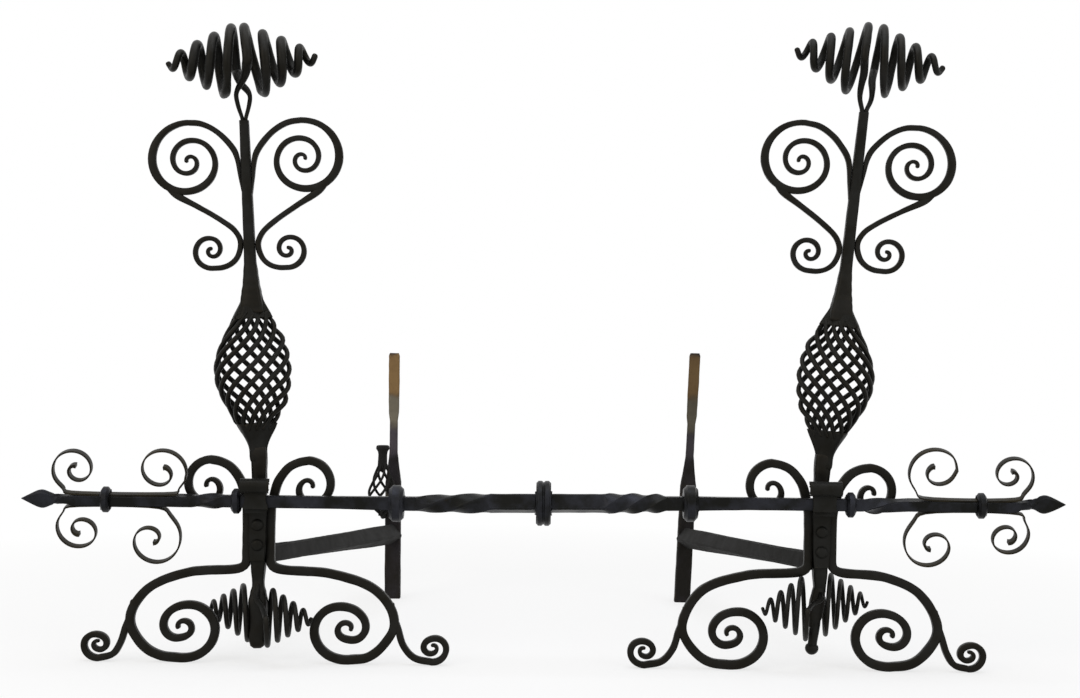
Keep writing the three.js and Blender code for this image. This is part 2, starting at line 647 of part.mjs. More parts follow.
function leg(side, direction, reach, archZ) {
  const x = side * direction;
  const riserX = POST_SIZE / 2 + FIT_GAP + LEG_BAR / 2;
  const topEye = [RISER_SCROLL_OUT, RISER_SCROLL_Z + reach.rise];
  const top = spiral({ eye: topEye, radius: RISER_SCROLL_RADIUS,
    pitch: RISER_SCROLL_PITCH, from: 90, turns: RISER_SCROLL_TURNS, sense: -1, steps: 13 });
  const flare = curveThrough([
    [riserX, POST_BEND_Z - 22], [riserX + 1, POST_BEND_Z - 6],
    [lerp(riserX, RISER_SCROLL_OUT, 0.16), POST_BEND_Z + 9],
    [lerp(riserX, RISER_SCROLL_OUT, 0.48), topEye[1] + RISER_SCROLL_RADIUS * 0.84],
    top[0], top[1]], 8).slice(0, -2);
  const bottomRadius = LEG_EYE_Z - LEG_BAR / 2 + SOLE_DEPTH;
  const scroll = quarterScroll({ eye: [reach.eye, LEG_EYE_Z],
    radii: [bottomRadius, ...LEG_SCROLL_RADII], from: -90, sense: -1, perQuarter: 3 });
  const arch = curveThrough([
    [riserX, archZ + 22], [riserX + 1.5, archZ + 5], [riserX + 9, archZ],
    [lerp(riserX, reach.shoulder, 0.5), archZ - 6.5],
    [reach.shoulder - 26, archZ - 26],
    [reach.shoulder - 3, LEG_EYE_Z + 24],
    [reach.shoulder - 1, LEG_EYE_Z + 2],
    [reach.shoulder - 20, LEG_EYE_Z - 26],
    [lerp(reach.eye, reach.shoulder, 0.4), LEG_EYE_Z - bottomRadius + 3],
    scroll[0], scroll[1]], 20).slice(0, -2);
  const path = [...top.slice().reverse(), ...flare.slice().reverse(), ...arch, ...scroll];
  const share = (count) => count / (path.length - 1);
  const flareEnd = share(top.length + flare.length);
  const archEnd = share(top.length + flare.length + arch.length);
  const bar = (t) => along([[0, LEG_TIP_BAR], [share(top.length), LEG_BAR - 0.6],
    [flareEnd, LEG_BAR], [archEnd, LEG_BAR], [archEnd + 0.14, 9.4], [1, LEG_TIP_BAR]], t);
  const footEye = [reach.foot, FOOT_EYE_Z];
  const foot = spiral({ eye: footEye, radius: FOOT_EYE_Z - FOOT_BAR / 2 + SOLE_DEPTH,
    pitch: FOOT_PITCH, from: -90, turns: FOOT_TURNS, sense: 1, steps: 13 });
  const footRun = curveThrough([
    [reach.shoulder - 0.5, LEG_EYE_Z + 24], [reach.shoulder + 4, LEG_EYE_Z + 5],
    [reach.shoulder + 11, FOOT_EYE_Z + 6],
    [lerp(reach.shoulder, footEye[0], 0.55), FOOT_EYE_Z - 10],
    foot[0], foot[1]], 9).slice(0, -2);
  const footBar = (t) => along([[0, FOOT_BAR], [0.5, FOOT_BAR], [1, LEG_TIP_BAR]], t);
  return trimSole(fuse(flatBar(mirrored(path, x), bar, LEG_DEPTH),
    flatBar(mirrored([...footRun, ...foot], x), footBar, LEG_DEPTH - 1)));
}

// ---------------------------------------------------------------- crossbar hook

// Flat bar: up the front of the post, forward under the crossbar, up in front of it and over
// in a rolled lip.
function crossbarHook(lift) {
  const t = HOOK_THICKNESS / 2;
  const barZ = BAR_Z + lift;
  const shankY = -(POST_SIZE / 2 + FIT_GAP + t);
  const frontY = BAR_Y - BAR_HOOK_SIZE / 2 - FIT_GAP - t;
  const shelfZ = barZ - BAR_HOOK_SIZE / 2 - FIT_GAP - t;
  const lip = Array.from({ length: 9 }, (_, i) => {
    const angle = rad(-i * 31);
    return [frontY - HOOK_LIP_RADIUS + HOOK_LIP_RADIUS * Math.cos(angle),
      HOOK_LIP_Z + lift - HOOK_LIP_RADIUS * Math.sin(angle)];
  });
  const bend = HOOK_THICKNESS * 0.55;
  const path = [
    [shankY, HOOK_FOOT_Z], [shankY, RIVET_LOWER_Z], [shankY, RIVET_UPPER_Z],
    [shankY, shelfZ - bend], [shankY - bend, shelfZ],
    [frontY + bend, shelfZ], [frontY, shelfZ + bend], [frontY, barZ + 6], ...lip,
  ];
  const count = path.length - 1;
  const width = (i) => along([[0, HOOK_SHANK_WIDTH - 4], [1, HOOK_SHANK_WIDTH],
    [4, HOOK_SHANK_WIDTH], [6, HOOK_FRONT_WIDTH], [7, HOOK_FRONT_WIDTH],
    [9, HOOK_LIP_WIDTH], [count, HOOK_LIP_WIDTH]], i);
  const rings = path.map(([y, z], i) => {
    const before = path[Math.max(i - 1, 0)];
    const after = path[Math.min(i + 1, count)];
    const run = Math.hypot(after[0] - before[0], after[1] - before[1]);
    const inAngle = Math.atan2(z - before[1], y - before[0]);
    const outAngle = Math.atan2(after[1] - z, after[0] - y);
    const turned = i === 0 || i === count ? 0 : Math.abs(outAngle - inAngle) % (2 * Math.PI);
    const mitre = 1 / Math.cos(Math.min(turned, 2 * Math.PI - turned) / 2);
    const half = (i > 8 ? t * 0.86 : t) * mitre / run;
    const [ny, nz] = [-(after[1] - before[1]) * half, (after[0] - before[0]) * half];
    const w = width(i) / 2;
    return [V(-w, y + ny, z + nz), V(w, y + ny, z + nz), V(w, y - ny, z - nz),
      V(-w, y - ny, z - nz)];
  });
  const holes = [RIVET_UPPER_Z, RIVET_LOWER_Z].map((z) =>
    new THREE.CylinderGeometry(RIVET_RADIUS + FIT_GAP, RIVET_RADIUS + FIT_GAP, 3 * HOOK_THICKNESS, 10)
      .translate(0, shankY, z));
  return cut(loft(rings), ...holes);
}

// Domed head in front of the shank, and a pin through it into the post.
function hookRivet(z) {
  const face = -(POST_SIZE / 2 + 2 * FIT_GAP + HOOK_THICKNESS);
  const pinEnd = -POST_SIZE / 2 + RIVET_LENGTH / 2 - 1;
  const profile = [V(0, pinEnd), V(RIVET_RADIUS, pinEnd), V(RIVET_RADIUS, face),
    V(RIVET_HEAD_RADIUS, face), V(RIVET_HEAD_RADIUS * 0.93, face - RIVET_HEAD_HEIGHT * 0.45),
    V(RIVET_HEAD_RADIUS * 0.6, face - RIVET_HEAD_HEIGHT * 0.86), V(0, face - RIVET_HEAD_HEIGHT)];
  const points = profile.map((p) => new THREE.Vector2(p.x, p.y));
  return new THREE.LatheGeometry(points.reverse(), 10).translate(0, 0, z);
}

// ---------------------------------------------------------------- drops

// Turned about the post's axis below "neckZ", leaning inwards by "lean" degrees.
function drop(side, lean, bottomZ, profile) {
  const neckZ = POST_FOOT_Z - FIT_GAP;
  const points = profile.map(([r, z]) => new THREE.Vector2(r, z));
  const shaft = new THREE.LatheGeometry([new THREE.Vector2(0, bottomZ), ...points,
    new THREE.Vector2(DROP_NECK_RADIUS, neckZ), new THREE.Vector2(0, neckZ)], 12)
    .rotateX(Math.PI / 2);
  const neck = DROP_NECK_RADIUS * Math.sin(rad(lean));
  return shaft.translate(0, 0, -neckZ).rotateY(side * rad(lean)).translate(0, 0, neckZ - neck);
}

const roundEnd = (radius, bottomZ, count = 4) => Array.from({ length: count }, (_, i) => {
  const angle = ((i + 1) / count) * (Math.PI / 2);
  return [radius * Math.sin(angle), bottomZ + radius * (1 - Math.cos(angle))];
});

const leftDrop = (side) => drop(side, LEFT_DROP_LEAN, LEFT_DROP_BOTTOM_Z, [
  ...roundEnd(LEFT_DROP_RADIUS, LEFT_DROP_BOTTOM_Z),
  [LEFT_DROP_RADIUS, LEFT_BOTTOM_COIL_Z - 4],
  [DROP_NECK_RADIUS + 2, LEFT_BOTTOM_COIL_Z + 12],
]);

const rightDrop = (side) => {
  const ballZ = RIGHT_DROP_BOTTOM_Z + RIGHT_DROP_BALL_RADIUS;
  return drop(side, RIGHT_DROP_LEAN, RIGHT_DROP_BOTTOM_Z, [
    ...roundEnd(RIGHT_DROP_BALL_RADIUS, RIGHT_DROP_BOTTOM_Z),
    [RIGHT_DROP_BALL_RADIUS * 0.86, ballZ + RIGHT_DROP_BALL_RADIUS * 0.5],
    [RIGHT_DROP_RADIUS, ballZ + RIGHT_DROP_BALL_RADIUS * 0.85],
    [RIGHT_DROP_RADIUS + 1.2, ballZ + 32],
    [DROP_NECK_RADIUS + 1.5, ballZ + 58],
  ]);
};

// ---------------------------------------------------------------- billet bar and rear post

const rearAxis = (side) => V(-side * BILLET_TOE_IN, BILLET_LENGTH, 0);

// Square bar with an eighth turn, from the back of the post to the rear post, with a round
// tenon through the rear post.
function billetBar(side) {
  const front = V(0, 0, BILLET_FRONT_Z);
  const rear = rearAxis(side).setZ(BILLET_REAR_Z);
  const axis = rear.clone().sub(front).normalize();
  const flat = V(axis.y, -axis.x, 0).normalize();
  const upright = flat.clone().cross(axis);
  const frontFace = (y) => front.clone().lerp(rear, y / BILLET_LENGTH);
  const startY = POST_SIZE / 2 + FIT_GAP;
  const endY = BILLET_LENGTH - REAR_LEG_DEPTH / 2 - FIT_GAP;
  const stations = [[0, BILLET_SIZE], [0.2, BILLET_SIZE], [0.4, BILLET_SIZE],
    [0.6, BILLET_SIZE], [0.8, BILLET_REAR_SIZE], [0.92, BILLET_REAR_SIZE],
    [0.98, BILLET_REAR_SIZE * 1.05], [1, BILLET_END_SIZE]];
  const rings = stations.map(([t, size]) => {
    const roll = rad(lerp(BILLET_FRONT_TURN, BILLET_REAR_TURN, smooth(t)));
    const y = lerp(startY - BILLET_SIZE, endY + BILLET_SIZE, t);
    return squareRing(frontFace(y), size, BILLET_CHAMFER, flat, upright, -side * roll);
  });
  const wide = 2 * BILLET_TOE_IN;
  const block = new THREE.BoxGeometry(wide, 4 * BILLET_SIZE, wide);
  const frontBlock = block.clone().translate(0, startY - 2 * BILLET_SIZE, BILLET_FRONT_Z);
  const rearBlock = block.clone().translate(rear.x, endY + 2 * BILLET_SIZE, BILLET_REAR_Z);
  const shaft = cut(loft(rings), frontBlock, rearBlock);
  const tenonStart = frontFace(endY - TENON_RADIUS * 2);
  const tenonEnd = frontFace(BILLET_LENGTH + REAR_LEG_DEPTH / 2 + TENON_PROUD);
  const tenon = roundBar([tenonStart, tenonEnd], () => TENON_RADIUS * 2, 10);
  return fuse(shaft, tenon);
}

// Leg, waist and flattened paddle in one bar, with a hole for the billet bar's tenon.
function rearPost(side, lean, topZ) {
  const at = rearAxis(side);
  const section = [
    [0, REAR_LEG_WIDTH, REAR_LEG_DEPTH], [REAR_SHOULDER_Z, REAR_LEG_WIDTH, REAR_LEG_DEPTH],
    [REAR_SHOULDER_Z + REAR_TAPER_RISE, (REAR_LEG_WIDTH + REAR_WAIST_WIDTH) / 2,
      REAR_LEG_DEPTH * 0.75],
    [REAR_WAIST_Z - REAR_TAPER_RISE, REAR_WAIST_WIDTH, REAR_WAIST_WIDTH],
    [REAR_PADDLE_Z - REAR_PADDLE_RISE, REAR_WAIST_WIDTH, REAR_WAIST_WIDTH * 0.8],
    [REAR_PADDLE_Z, REAR_PADDLE_WIDTH * 0.94, REAR_PADDLE_DEPTH],
    [REAR_PADDLE_Z + 3 * REAR_PADDLE_RISE, REAR_PADDLE_WIDTH, REAR_PADDLE_DEPTH],
    [topZ - REAR_CORNER, REAR_PADDLE_WIDTH, REAR_PADDLE_DEPTH],
    [topZ, REAR_PADDLE_WIDTH * 0.82, REAR_PADDLE_DEPTH * 0.8],
  ];
  const leanAt = (z) => side * (z - BILLET_REAR_Z) * Math.tan(rad(lean));
  const body = loft(section.map(([z, width, depth]) =>
    squareRing(V(at.x + leanAt(z), at.y, z), width, POST_CHAMFER, V(1, 0, 0), V(0, 1, 0), 0,
      depth)));
  const front = V(0, 0, BILLET_FRONT_Z);
  const direction = at.clone().setZ(BILLET_REAR_Z).sub(front).normalize();
  const middle = at.clone().setZ(BILLET_REAR_Z);
  const hole = roundBar([middle.clone().addScaledVector(direction, -2 * REAR_LEG_DEPTH),
    middle.clone().addScaledVector(direction, 2 * REAR_LEG_DEPTH)],
  () => 2 * (TENON_RADIUS + FIT_GAP), 10);
  return cut(body, hole);
}

// ---------------------------------------------------------------- basket bud

// A small openwork bud on the outer front corner of the left rear post: rods that swell from
// a short stem, close in a neck and end in a flat head.
function basketBud(side) {
  const post = rearAxis(side);
  const centreX = post.x + side * REAR_LEG_WIDTH * 0.62;
  const centreY = post.y - REAR_LEG_DEPTH / 2 - FIT_GAP - BUD_RADIUS - BUD_ROD_DIAMETER / 2;
  const swell = BUD_WAIST_Z - BUD_BOTTOM_Z;
  const radiusAt = (z) => along([[0, BUD_NECK_RADIUS * 0.5], [0.18, BUD_RADIUS * 0.86],
    [0.38, BUD_RADIUS], [0.65, BUD_RADIUS * 0.7], [1, BUD_NECK_RADIUS * 0.75]],
  (z - BUD_BOTTOM_Z) / swell);
  const steps = 5;
  const rods = Array.from({ length: BUD_RODS }, (_, rod) => {
    const path = Array.from({ length: steps + 1 }, (_, i) => {
      const z = lerp(BUD_BOTTOM_Z, BUD_WAIST_Z, i / steps);
      const angle = 2 * Math.PI * (rod / BUD_RODS + 0.45 * (i / steps));
      return V(centreX + radiusAt(z) * Math.cos(angle), centreY + radiusAt(z) * Math.sin(angle), z);
    });
    return roundBar(path, () => BUD_ROD_DIAMETER, 4);
  });
  const turned = (points) => new THREE.LatheGeometry(
    points.map(([r, z]) => new THREE.Vector2(r, z)), 8)
    .rotateX(Math.PI / 2).translate(centreX, centreY, 0);
  const neck = turned([[0, BUD_WAIST_Z - BUD_NECK_HEIGHT],
    [BUD_NECK_RADIUS, BUD_WAIST_Z - BUD_NECK_HEIGHT / 2],
    [BUD_NECK_RADIUS * 0.9, BUD_TOP_Z - BUD_NECK_HEIGHT],
    [BUD_HEAD_RADIUS, BUD_TOP_Z - BUD_NECK_HEIGHT / 2],
    [BUD_HEAD_RADIUS, BUD_TOP_Z - BUD_NECK_HEIGHT / 7], [BUD_HEAD_RADIUS * 0.8, BUD_TOP_Z],
    [0, BUD_TOP_Z]]);
  const footRadius = BUD_NECK_RADIUS * 0.8;
  const foot = turned([[0, BUD_BOTTOM_Z - footRadius * 0.8], [footRadius, BUD_BOTTOM_Z - footRadius / 2],
    [footRadius, BUD_BOTTOM_Z + footRadius * 0.6], [0, BUD_BOTTOM_Z + footRadius]]);
  const stemEndY = post.y - REAR_LEG_DEPTH / 2 - FIT_GAP;
  const stemZ = BUD_BOTTOM_Z - BUD_STEM * 0.75;
  const stem = roundBar([V(centreX, centreY, BUD_BOTTOM_Z - 1),
    V(centreX, lerp(centreY, stemEndY, 0.5), stemZ), V(centreX, stemEndY, stemZ)],
  () => BUD_STEM, 8);
  return fuse(neck, foot, stem, ...rods);
}

// ---------------------------------------------------------------- one andiron

function andiron(name, settings) {
  const { side, lean, forkZ, heartZ, topCoilZ, topCoilBar } = settings;
  const group = new THREE.Group();
  const collarFace = OUTER_COLLAR_X - OUTER_COLLAR_LENGTH / 2 - FIT_GAP;
  group.position.x = side * (collarFace - HOOK_LIP_WIDTH / 2 - settings.slack);
  const leaning = new THREE.Group();
  leaning.position.z = POST_BEND_Z;
  leaning.rotation.y = side * lean;
  const stack = new THREE.Group();
  stack.position.z = -POST_BEND_Z;
  leaning.add(stack);
  group.add(leaning);

  piece(group, `${name}_lower_post`, lowerPost(side, lean));
  piece(stack, `${name}_basket`, basket(side));
  piece(stack, `${name}_upper_post`, upperPost(forkZ));

  for (const [where, direction] of [['outer', 1], ['inner', -1]]) {
    const heading = side * direction;
    const turnSide = direction;
    const prongX = PRONG_BAR / 2 + FIT_GAP;
    const top = coil({
      start: V((settings.crossed ? -heading : heading) * prongX, 0, forkZ + FIT_GAP),
      heading, turnSide, axisZ: topCoilZ, crest: TOP_COIL_START, length: TOP_COIL_LENGTH,
      radius: TOP_COIL_RADIUS, tipRadius: TOP_COIL_TIP_RADIUS, turns: TOP_COIL_TURNS,
      bar: topCoilBar, bulge: PRONG_BULGE, skew: side * COIL_SKEW,
      lean: settings.topCoilLean[where], rise: TOP_COIL_RISE,
    });
    piece(stack, `${name}_top_coil_${where}`, top.geometry);
    const bottom = coil({
      start: V(0, turnSide * (POST_SIZE / 2 - PRONG_BAR / 2 - FIT_GAP), POST_FOOT_Z - FIT_GAP),
      heading, turnSide, axisZ: settings.bottomCoilZ, crest: BOTTOM_COIL_START,
      length: BOTTOM_COIL_LENGTH, radius: settings.bottomCoilRadius,
      tipRadius: BOTTOM_COIL_TIP_RADIUS, turns: BOTTOM_COIL_TURNS, bar: BOTTOM_COIL_BAR,
      shift: -side * settings.bottomCoilShift, offset: BOTTOM_COIL_OFFSET,
      sweep: BOTTOM_COIL_SWEEP, skew: side * COIL_SKEW, up: -1,
    });
    piece(group, `${name}_bottom_coil_${where}`, bottom.geometry);
    console.log(`${name} ${where}: least gap between turns, top ${leastTurnGap(top).toFixed(2)}, `
      + `bottom ${leastTurnGap(bottom).toFixed(2)} mm`);
    piece(stack, `${name}_heart_scroll_${where}`,
      heartScroll(side, direction, heartZ[where], forkZ));
    piece(group, `${name}_leg_${where}`,
      leg(side, direction, LEG_REACH[`${name}_${where}`], settings.archZ));
  }

  piece(group, `${name}_drop`, settings.makeDrop(side));
  piece(group, `${name}_crossbar_hook`, crossbarHook(barLift(group.position.x)));
  piece(group, `${name}_hook_rivet_upper`, hookRivet(RIVET_UPPER_Z));
  piece(group, `${name}_hook_rivet_lower`, hookRivet(RIVET_LOWER_Z));
  piece(group, `${name}_billet_bar`, billetBar(side));
  piece(group, `${name}_rear_post`, rearPost(side, settings.rearLean, settings.rearTopZ),
    burntIron);
  object.add(group);
  return group;
}

const left = andiron('left', {
  side: -1, lean: rad(LEFT_LEAN), forkZ: LEFT_FORK_Z, heartZ: LEFT_HEART_Z,
  topCoilZ: LEFT_TOP_COIL_Z, topCoilBar: LEFT_TOP_COIL_BAR, topCoilLean: LEFT_TOP_COIL_LEAN,
  bottomCoilZ: LEFT_BOTTOM_COIL_Z, bottomCoilRadius: LEFT_BOTTOM_COIL_RADIUS,
  bottomCoilShift: 0,
  archZ: LEFT_ARCH_Z, rearLean: LEFT_REAR_LEAN, rearTopZ: LEFT_REAR_TOP_Z,
  makeDrop: leftDrop, slack: 0, crossed: true,
});
andiron('right', {
  side: 1, lean: rad(RIGHT_LEAN), forkZ: RIGHT_FORK_Z, heartZ: RIGHT_HEART_Z,
  topCoilZ: RIGHT_TOP_COIL_Z, topCoilBar: RIGHT_TOP_COIL_BAR, topCoilLean: RIGHT_TOP_COIL_LEAN,
  bottomCoilZ: RIGHT_BOTTOM_COIL_Z, bottomCoilRadius: RIGHT_BOTTOM_COIL_RADIUS,
  bottomCoilShift: RIGHT_BOTTOM_COIL_SHIFT,
  archZ: RIGHT_ARCH_Z, rearLean: RIGHT_REAR_LEAN, rearTopZ: RIGHT_REAR_TOP_Z,
  makeDrop: rightDrop, slack: RIGHT_SLACK, crossed: false,
});
piece(left, 'left_basket_bud', basketBud(-1));

// ---------------------------------------------------------------- crossbar

const crossbar = new THREE.Group();
crossbar.position.set(0, BAR_Y, BAR_Z);
object.add(crossbar);

// Size of the bar at a distance from its middle.
const barSize = (x) => along([[0, BAR_CENTRE_SIZE], [BAR_CENTRE_HALF, BAR_CENTRE_SIZE - 1.5],
  [BAR_INNER_START, BAR_INNER_SIZE], [INNER_COLLAR_X + 12, BAR_INNER_SIZE],
  [HOOK_ZONE_START, BAR_HOOK_SIZE], [SHORT_TWIST_START, BAR_HOOK_SIZE],
  [SHORT_TWIST_END, BAR_END_SIZE], [STRIPS_END_X, BAR_END_SIZE], [BAR_NECK_START, BAR_NECK_SIZE],
  [SPEAR_START, BAR_NECK_SIZE]], Math.abs(x));
const barCentre = (x) => V(x, 0, barLift(x));

function bar() {
  const between = (from, to, count) =>
    Array.from({ length: count }, (_, i) => lerp(from, to, i / (count - 1)));
  const plain = [INNER_COLLAR_X + 12, HOOK_ZONE_START, SHORT_TWIST_START];
  const ends = [STRIPS_START_X, STRIPS_END_X, BAR_NECK_START, SPEAR_START];
  const stations = [
    ...ends.map((x) => -x).reverse(),
    ...between(-SHORT_TWIST_END, -SHORT_TWIST_START, 7),
    ...plain.slice(0, 2).map((x) => -x).reverse(),
    ...between(-LEFT_TWIST_OUTER, -LEFT_TWIST_INNER, 12),
    ...between(RIGHT_TWIST_INNER, RIGHT_TWIST_OUTER, 12),
    ...plain.slice(0, 2), ...between(SHORT_TWIST_START, SHORT_TWIST_END, 7), ...ends,
  ];
  const ring = (x) =>
    squareRing(barCentre(x), barSize(x), 1.8, V(0, 1, 0), V(0, 0, 1), barRoll(x));
  const spear = ([x, width, depth]) => squareRing(barCentre(x), depth, depth * 0.3,
    V(0, 1, 0), V(0, 0, 1), barRoll(-SPEAR_START), width);
  const spearHalf = [
    [lerp(SPEAR_START, SPEAR_WIDEST, 0.5), SPEAR_WIDTH * 0.8, SPEAR_DEPTH],
    [SPEAR_WIDEST, SPEAR_WIDTH, SPEAR_DEPTH],
    [lerp(SPEAR_WIDEST, SPEAR_TIP, 0.5), SPEAR_WIDTH * 0.6, SPEAR_DEPTH * 0.7],
    [SPEAR_TIP, 1.6, 1.6],
  ];
  return loft([
    ...spearHalf.slice().reverse().map(([x, w, d]) => spear([-x, w, d])),
    ...stations.map(ring),
    ...spearHalf.map(spear),
  ]);
}
piece(crossbar, 'crossbar_bar', bar(), crossbarIron);

// A turned ring on the bar: "profile" lists [x, radius] across its width.
function collar(x, profile, boreSize, boreHeight = boreSize) {
  const points = profile.map(([px, r]) => new THREE.Vector2(r, px));
  const lathe = new THREE.LatheGeometry([new THREE.Vector2(0, points[0].y), ...points,
    new THREE.Vector2(0, points[points.length - 1].y)], 20).rotateZ(-Math.PI / 2);
  const bore = new THREE.BoxGeometry(80, boreSize + 2 * FIT_GAP, boreHeight + 2 * FIT_GAP)
    .rotateX(boreHeight > boreSize ? rad(STRIP_LIE) : barRoll(x));
  return cut(lathe, bore).translate(x, 0, barLift(x));
}

const ringProfile = (length, radius) => [[-length / 2, radius * 0.8], [-length / 4, radius],
  [length / 4, radius], [length / 2, radius * 0.8]];

const doubleRing = (length, radius) => [[-0.5, 0.9], [-0.36, 1], [-0.12, 1], [0, 0.93],
  [0.12, 1], [0.36, 1], [0.5, 0.9]].map(([x, r]) => [x * length, r * radius]);

piece(crossbar, 'centre_collar', collar(0, doubleRing(CENTRE_COLLAR_LENGTH, CENTRE_COLLAR_RADIUS),
  BAR_CENTRE_SIZE), crossbarIron);

// A strip lies along one face of the bar and curls away from it at both ends.
function scrollStrip({ post, tip }) {
  const z = BAR_END_SIZE / 2 + FIT_GAP + STRIP_THICKNESS / 2;
  const curl = ({ run, off, radii }, sense) => quarterScroll({
    eye: [END_COLLAR_X + sense * run, off], radii: [off - z, ...radii], from: -90, sense,
    perQuarter: 3 });
  return [...curl(post, -1).reverse(), ...curl(tip, 1)];
}

const stripThickness = (t) => along([[0, 2.2], [0.05, 1.7], [0.14, 1], [0.86, 1], [0.95, 1.7],
  [1, 2.2]], t) * STRIP_THICKNESS;

for (const [name, sign] of [['left', -1], ['right', 1]]) {
  const at = (x) => sign * x;
  piece(crossbar, `${name}_inner_collar`, collar(at(INNER_COLLAR_X),
    ringProfile(INNER_COLLAR_LENGTH, INNER_COLLAR_RADIUS), BAR_INNER_SIZE), crossbarIron);
  piece(crossbar, `${name}_outer_collar`, collar(at(OUTER_COLLAR_X),
    ringProfile(OUTER_COLLAR_LENGTH, OUTER_COLLAR_RADIUS), BAR_HOOK_SIZE), crossbarIron);
  const stripStack = 2 * (STRIP_THICKNESS + FIT_GAP);
  piece(crossbar, `${name}_end_collar`, collar(at(END_COLLAR_X),
    ringProfile(END_COLLAR_LENGTH, END_COLLAR_RADIUS), BAR_END_SIZE, BAR_END_SIZE + stripStack),
  crossbarIron);
  for (const [where, up] of [['upper', 1], ['lower', -1]]) {
    const path = scrollStrip(STRIP_CURLS[`${name}_${where}`]).map(([x, z]) => [sign * x, up * z]);
    const strip = flatBar(path, stripThickness, STRIP_DEPTH).rotateX(rad(STRIP_LIE))
      .translate(0, 0, barLift(at(END_COLLAR_X)));
    piece(crossbar, `${name}_strip_${where}`, strip, crossbarIron);
  }
}

// the hearth point under the middle of the whole set is the origin
const extent = new THREE.Box3().setFromObject(object);
object.position.y = -(extent.min.y + extent.max.y) / 2;
object.position.x = -(extent.min.x + extent.max.x) / 2;

export default object;
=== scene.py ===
# A pair of hand-forged wrought-iron andirons with conical coil finials, openwork baskets and
# scrolled legs, tied by a loose crossbar that rests in two open hooks.

import math
import bmesh
import bpy
from functools import partial
from mathutils import Matrix, Vector, noise


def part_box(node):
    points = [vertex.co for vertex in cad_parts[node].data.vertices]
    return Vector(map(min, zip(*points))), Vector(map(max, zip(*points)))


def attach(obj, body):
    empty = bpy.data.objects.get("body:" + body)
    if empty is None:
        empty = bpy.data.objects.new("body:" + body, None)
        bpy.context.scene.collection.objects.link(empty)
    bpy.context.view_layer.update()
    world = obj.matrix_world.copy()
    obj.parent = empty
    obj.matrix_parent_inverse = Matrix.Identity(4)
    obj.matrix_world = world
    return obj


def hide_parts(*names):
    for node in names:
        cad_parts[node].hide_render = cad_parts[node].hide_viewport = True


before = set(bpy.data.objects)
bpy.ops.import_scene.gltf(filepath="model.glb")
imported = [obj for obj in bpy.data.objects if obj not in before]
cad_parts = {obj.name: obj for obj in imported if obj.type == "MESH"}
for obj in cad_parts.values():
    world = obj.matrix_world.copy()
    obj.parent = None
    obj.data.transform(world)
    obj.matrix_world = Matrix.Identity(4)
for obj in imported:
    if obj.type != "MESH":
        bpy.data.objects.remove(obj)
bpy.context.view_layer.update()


# ---------------------------------------------------------------- view, floor and light
# The camera stands level in front of the set, a little left of its middle, and is rolled by
# under a degree as the photograph is. Floor and surroundings are plain white to the eye.

MM = 0.001
IMAGE_WIDTH_PX = 1080
FOCAL_PX = 1786
SENSOR_MM = 36
CAMERA_X = -7.1 * MM
CAMERA_DISTANCE = 2322 * MM
CAMERA_HEIGHT = 413 * MM
CAMERA_ROLL = math.radians(0.75)
VIEW_DEPTH = 50              # metres
FRONT_PLANE_Y = -286.11      # mm, through the middle of both posts

camera = bpy.data.objects.new("camera", bpy.data.cameras.new("camera"))
camera.data.sensor_width = SENSOR_MM
camera.data.lens = SENSOR_MM * FOCAL_PX / IMAGE_WIDTH_PX
camera.data.clip_end = VIEW_DEPTH
camera.location = (CAMERA_X, FRONT_PLANE_Y * MM - CAMERA_DISTANCE, CAMERA_HEIGHT)
camera.rotation_euler = (math.radians(90), 0, 0)
camera.rotation_euler.rotate_axis("Z", CAMERA_ROLL)
bpy.context.scene.collection.objects.link(camera)
bpy.context.scene.camera = camera
bpy.context.scene.view_settings.view_transform = "Standard"


def linear(hex_colour):
    """An sRGB hex colour as the linear colour that the shader takes."""
    parts = [int(hex_colour[i:i + 2], 16) / 255 for i in (1, 3, 5)]
    return [p / 12.92 if p <= 0.04045 else ((p + 0.055) / 1.055) ** 2.4 for p in parts] + [1]


def add(tree, kind, links=None, **settings):
    """A node with its settings; links maps an input to a value or to another node's output."""
    node = tree.nodes.new(kind)
    for name, value in settings.items():
        setattr(node, name, value)
    for socket, source in (links or {}).items():
        if isinstance(source, bpy.types.NodeSocket):
            tree.links.new(source, node.inputs[socket])
        else:
            node.inputs[socket].default_value = source
    return node


def by_eye(tree):
    """1 for a ray from the camera or from a reflection, 0 for the rays that carry light."""
    ray = add(tree, "ShaderNodeLightPath")
    return add(tree, "ShaderNodeMath", {0: ray.outputs["Is Camera Ray"],
               1: ray.outputs["Is Glossy Ray"]}, operation="MAXIMUM").outputs[0]


WHITE = (1, 1, 1, 1)
FLOOR_HALF = 6.0
FLOOR_SHADOW_SHARE = 0.3
SHADOW_FADES = (0.7, 1.6)    # metres from the middle
FLOOR_COLOUR = "#f4f4f2"
FLOOR_ROUGHNESS = 0.9
bm = bmesh.new()
bmesh.ops.create_grid(bm, x_segments=1, y_segments=1, size=FLOOR_HALF)
floor_mesh = bpy.data.meshes.new("floor")
bm.to_mesh(floor_mesh)
bm.free()
floor = bpy.data.objects.new("floor", floor_mesh)
bpy.context.scene.collection.objects.link(floor)

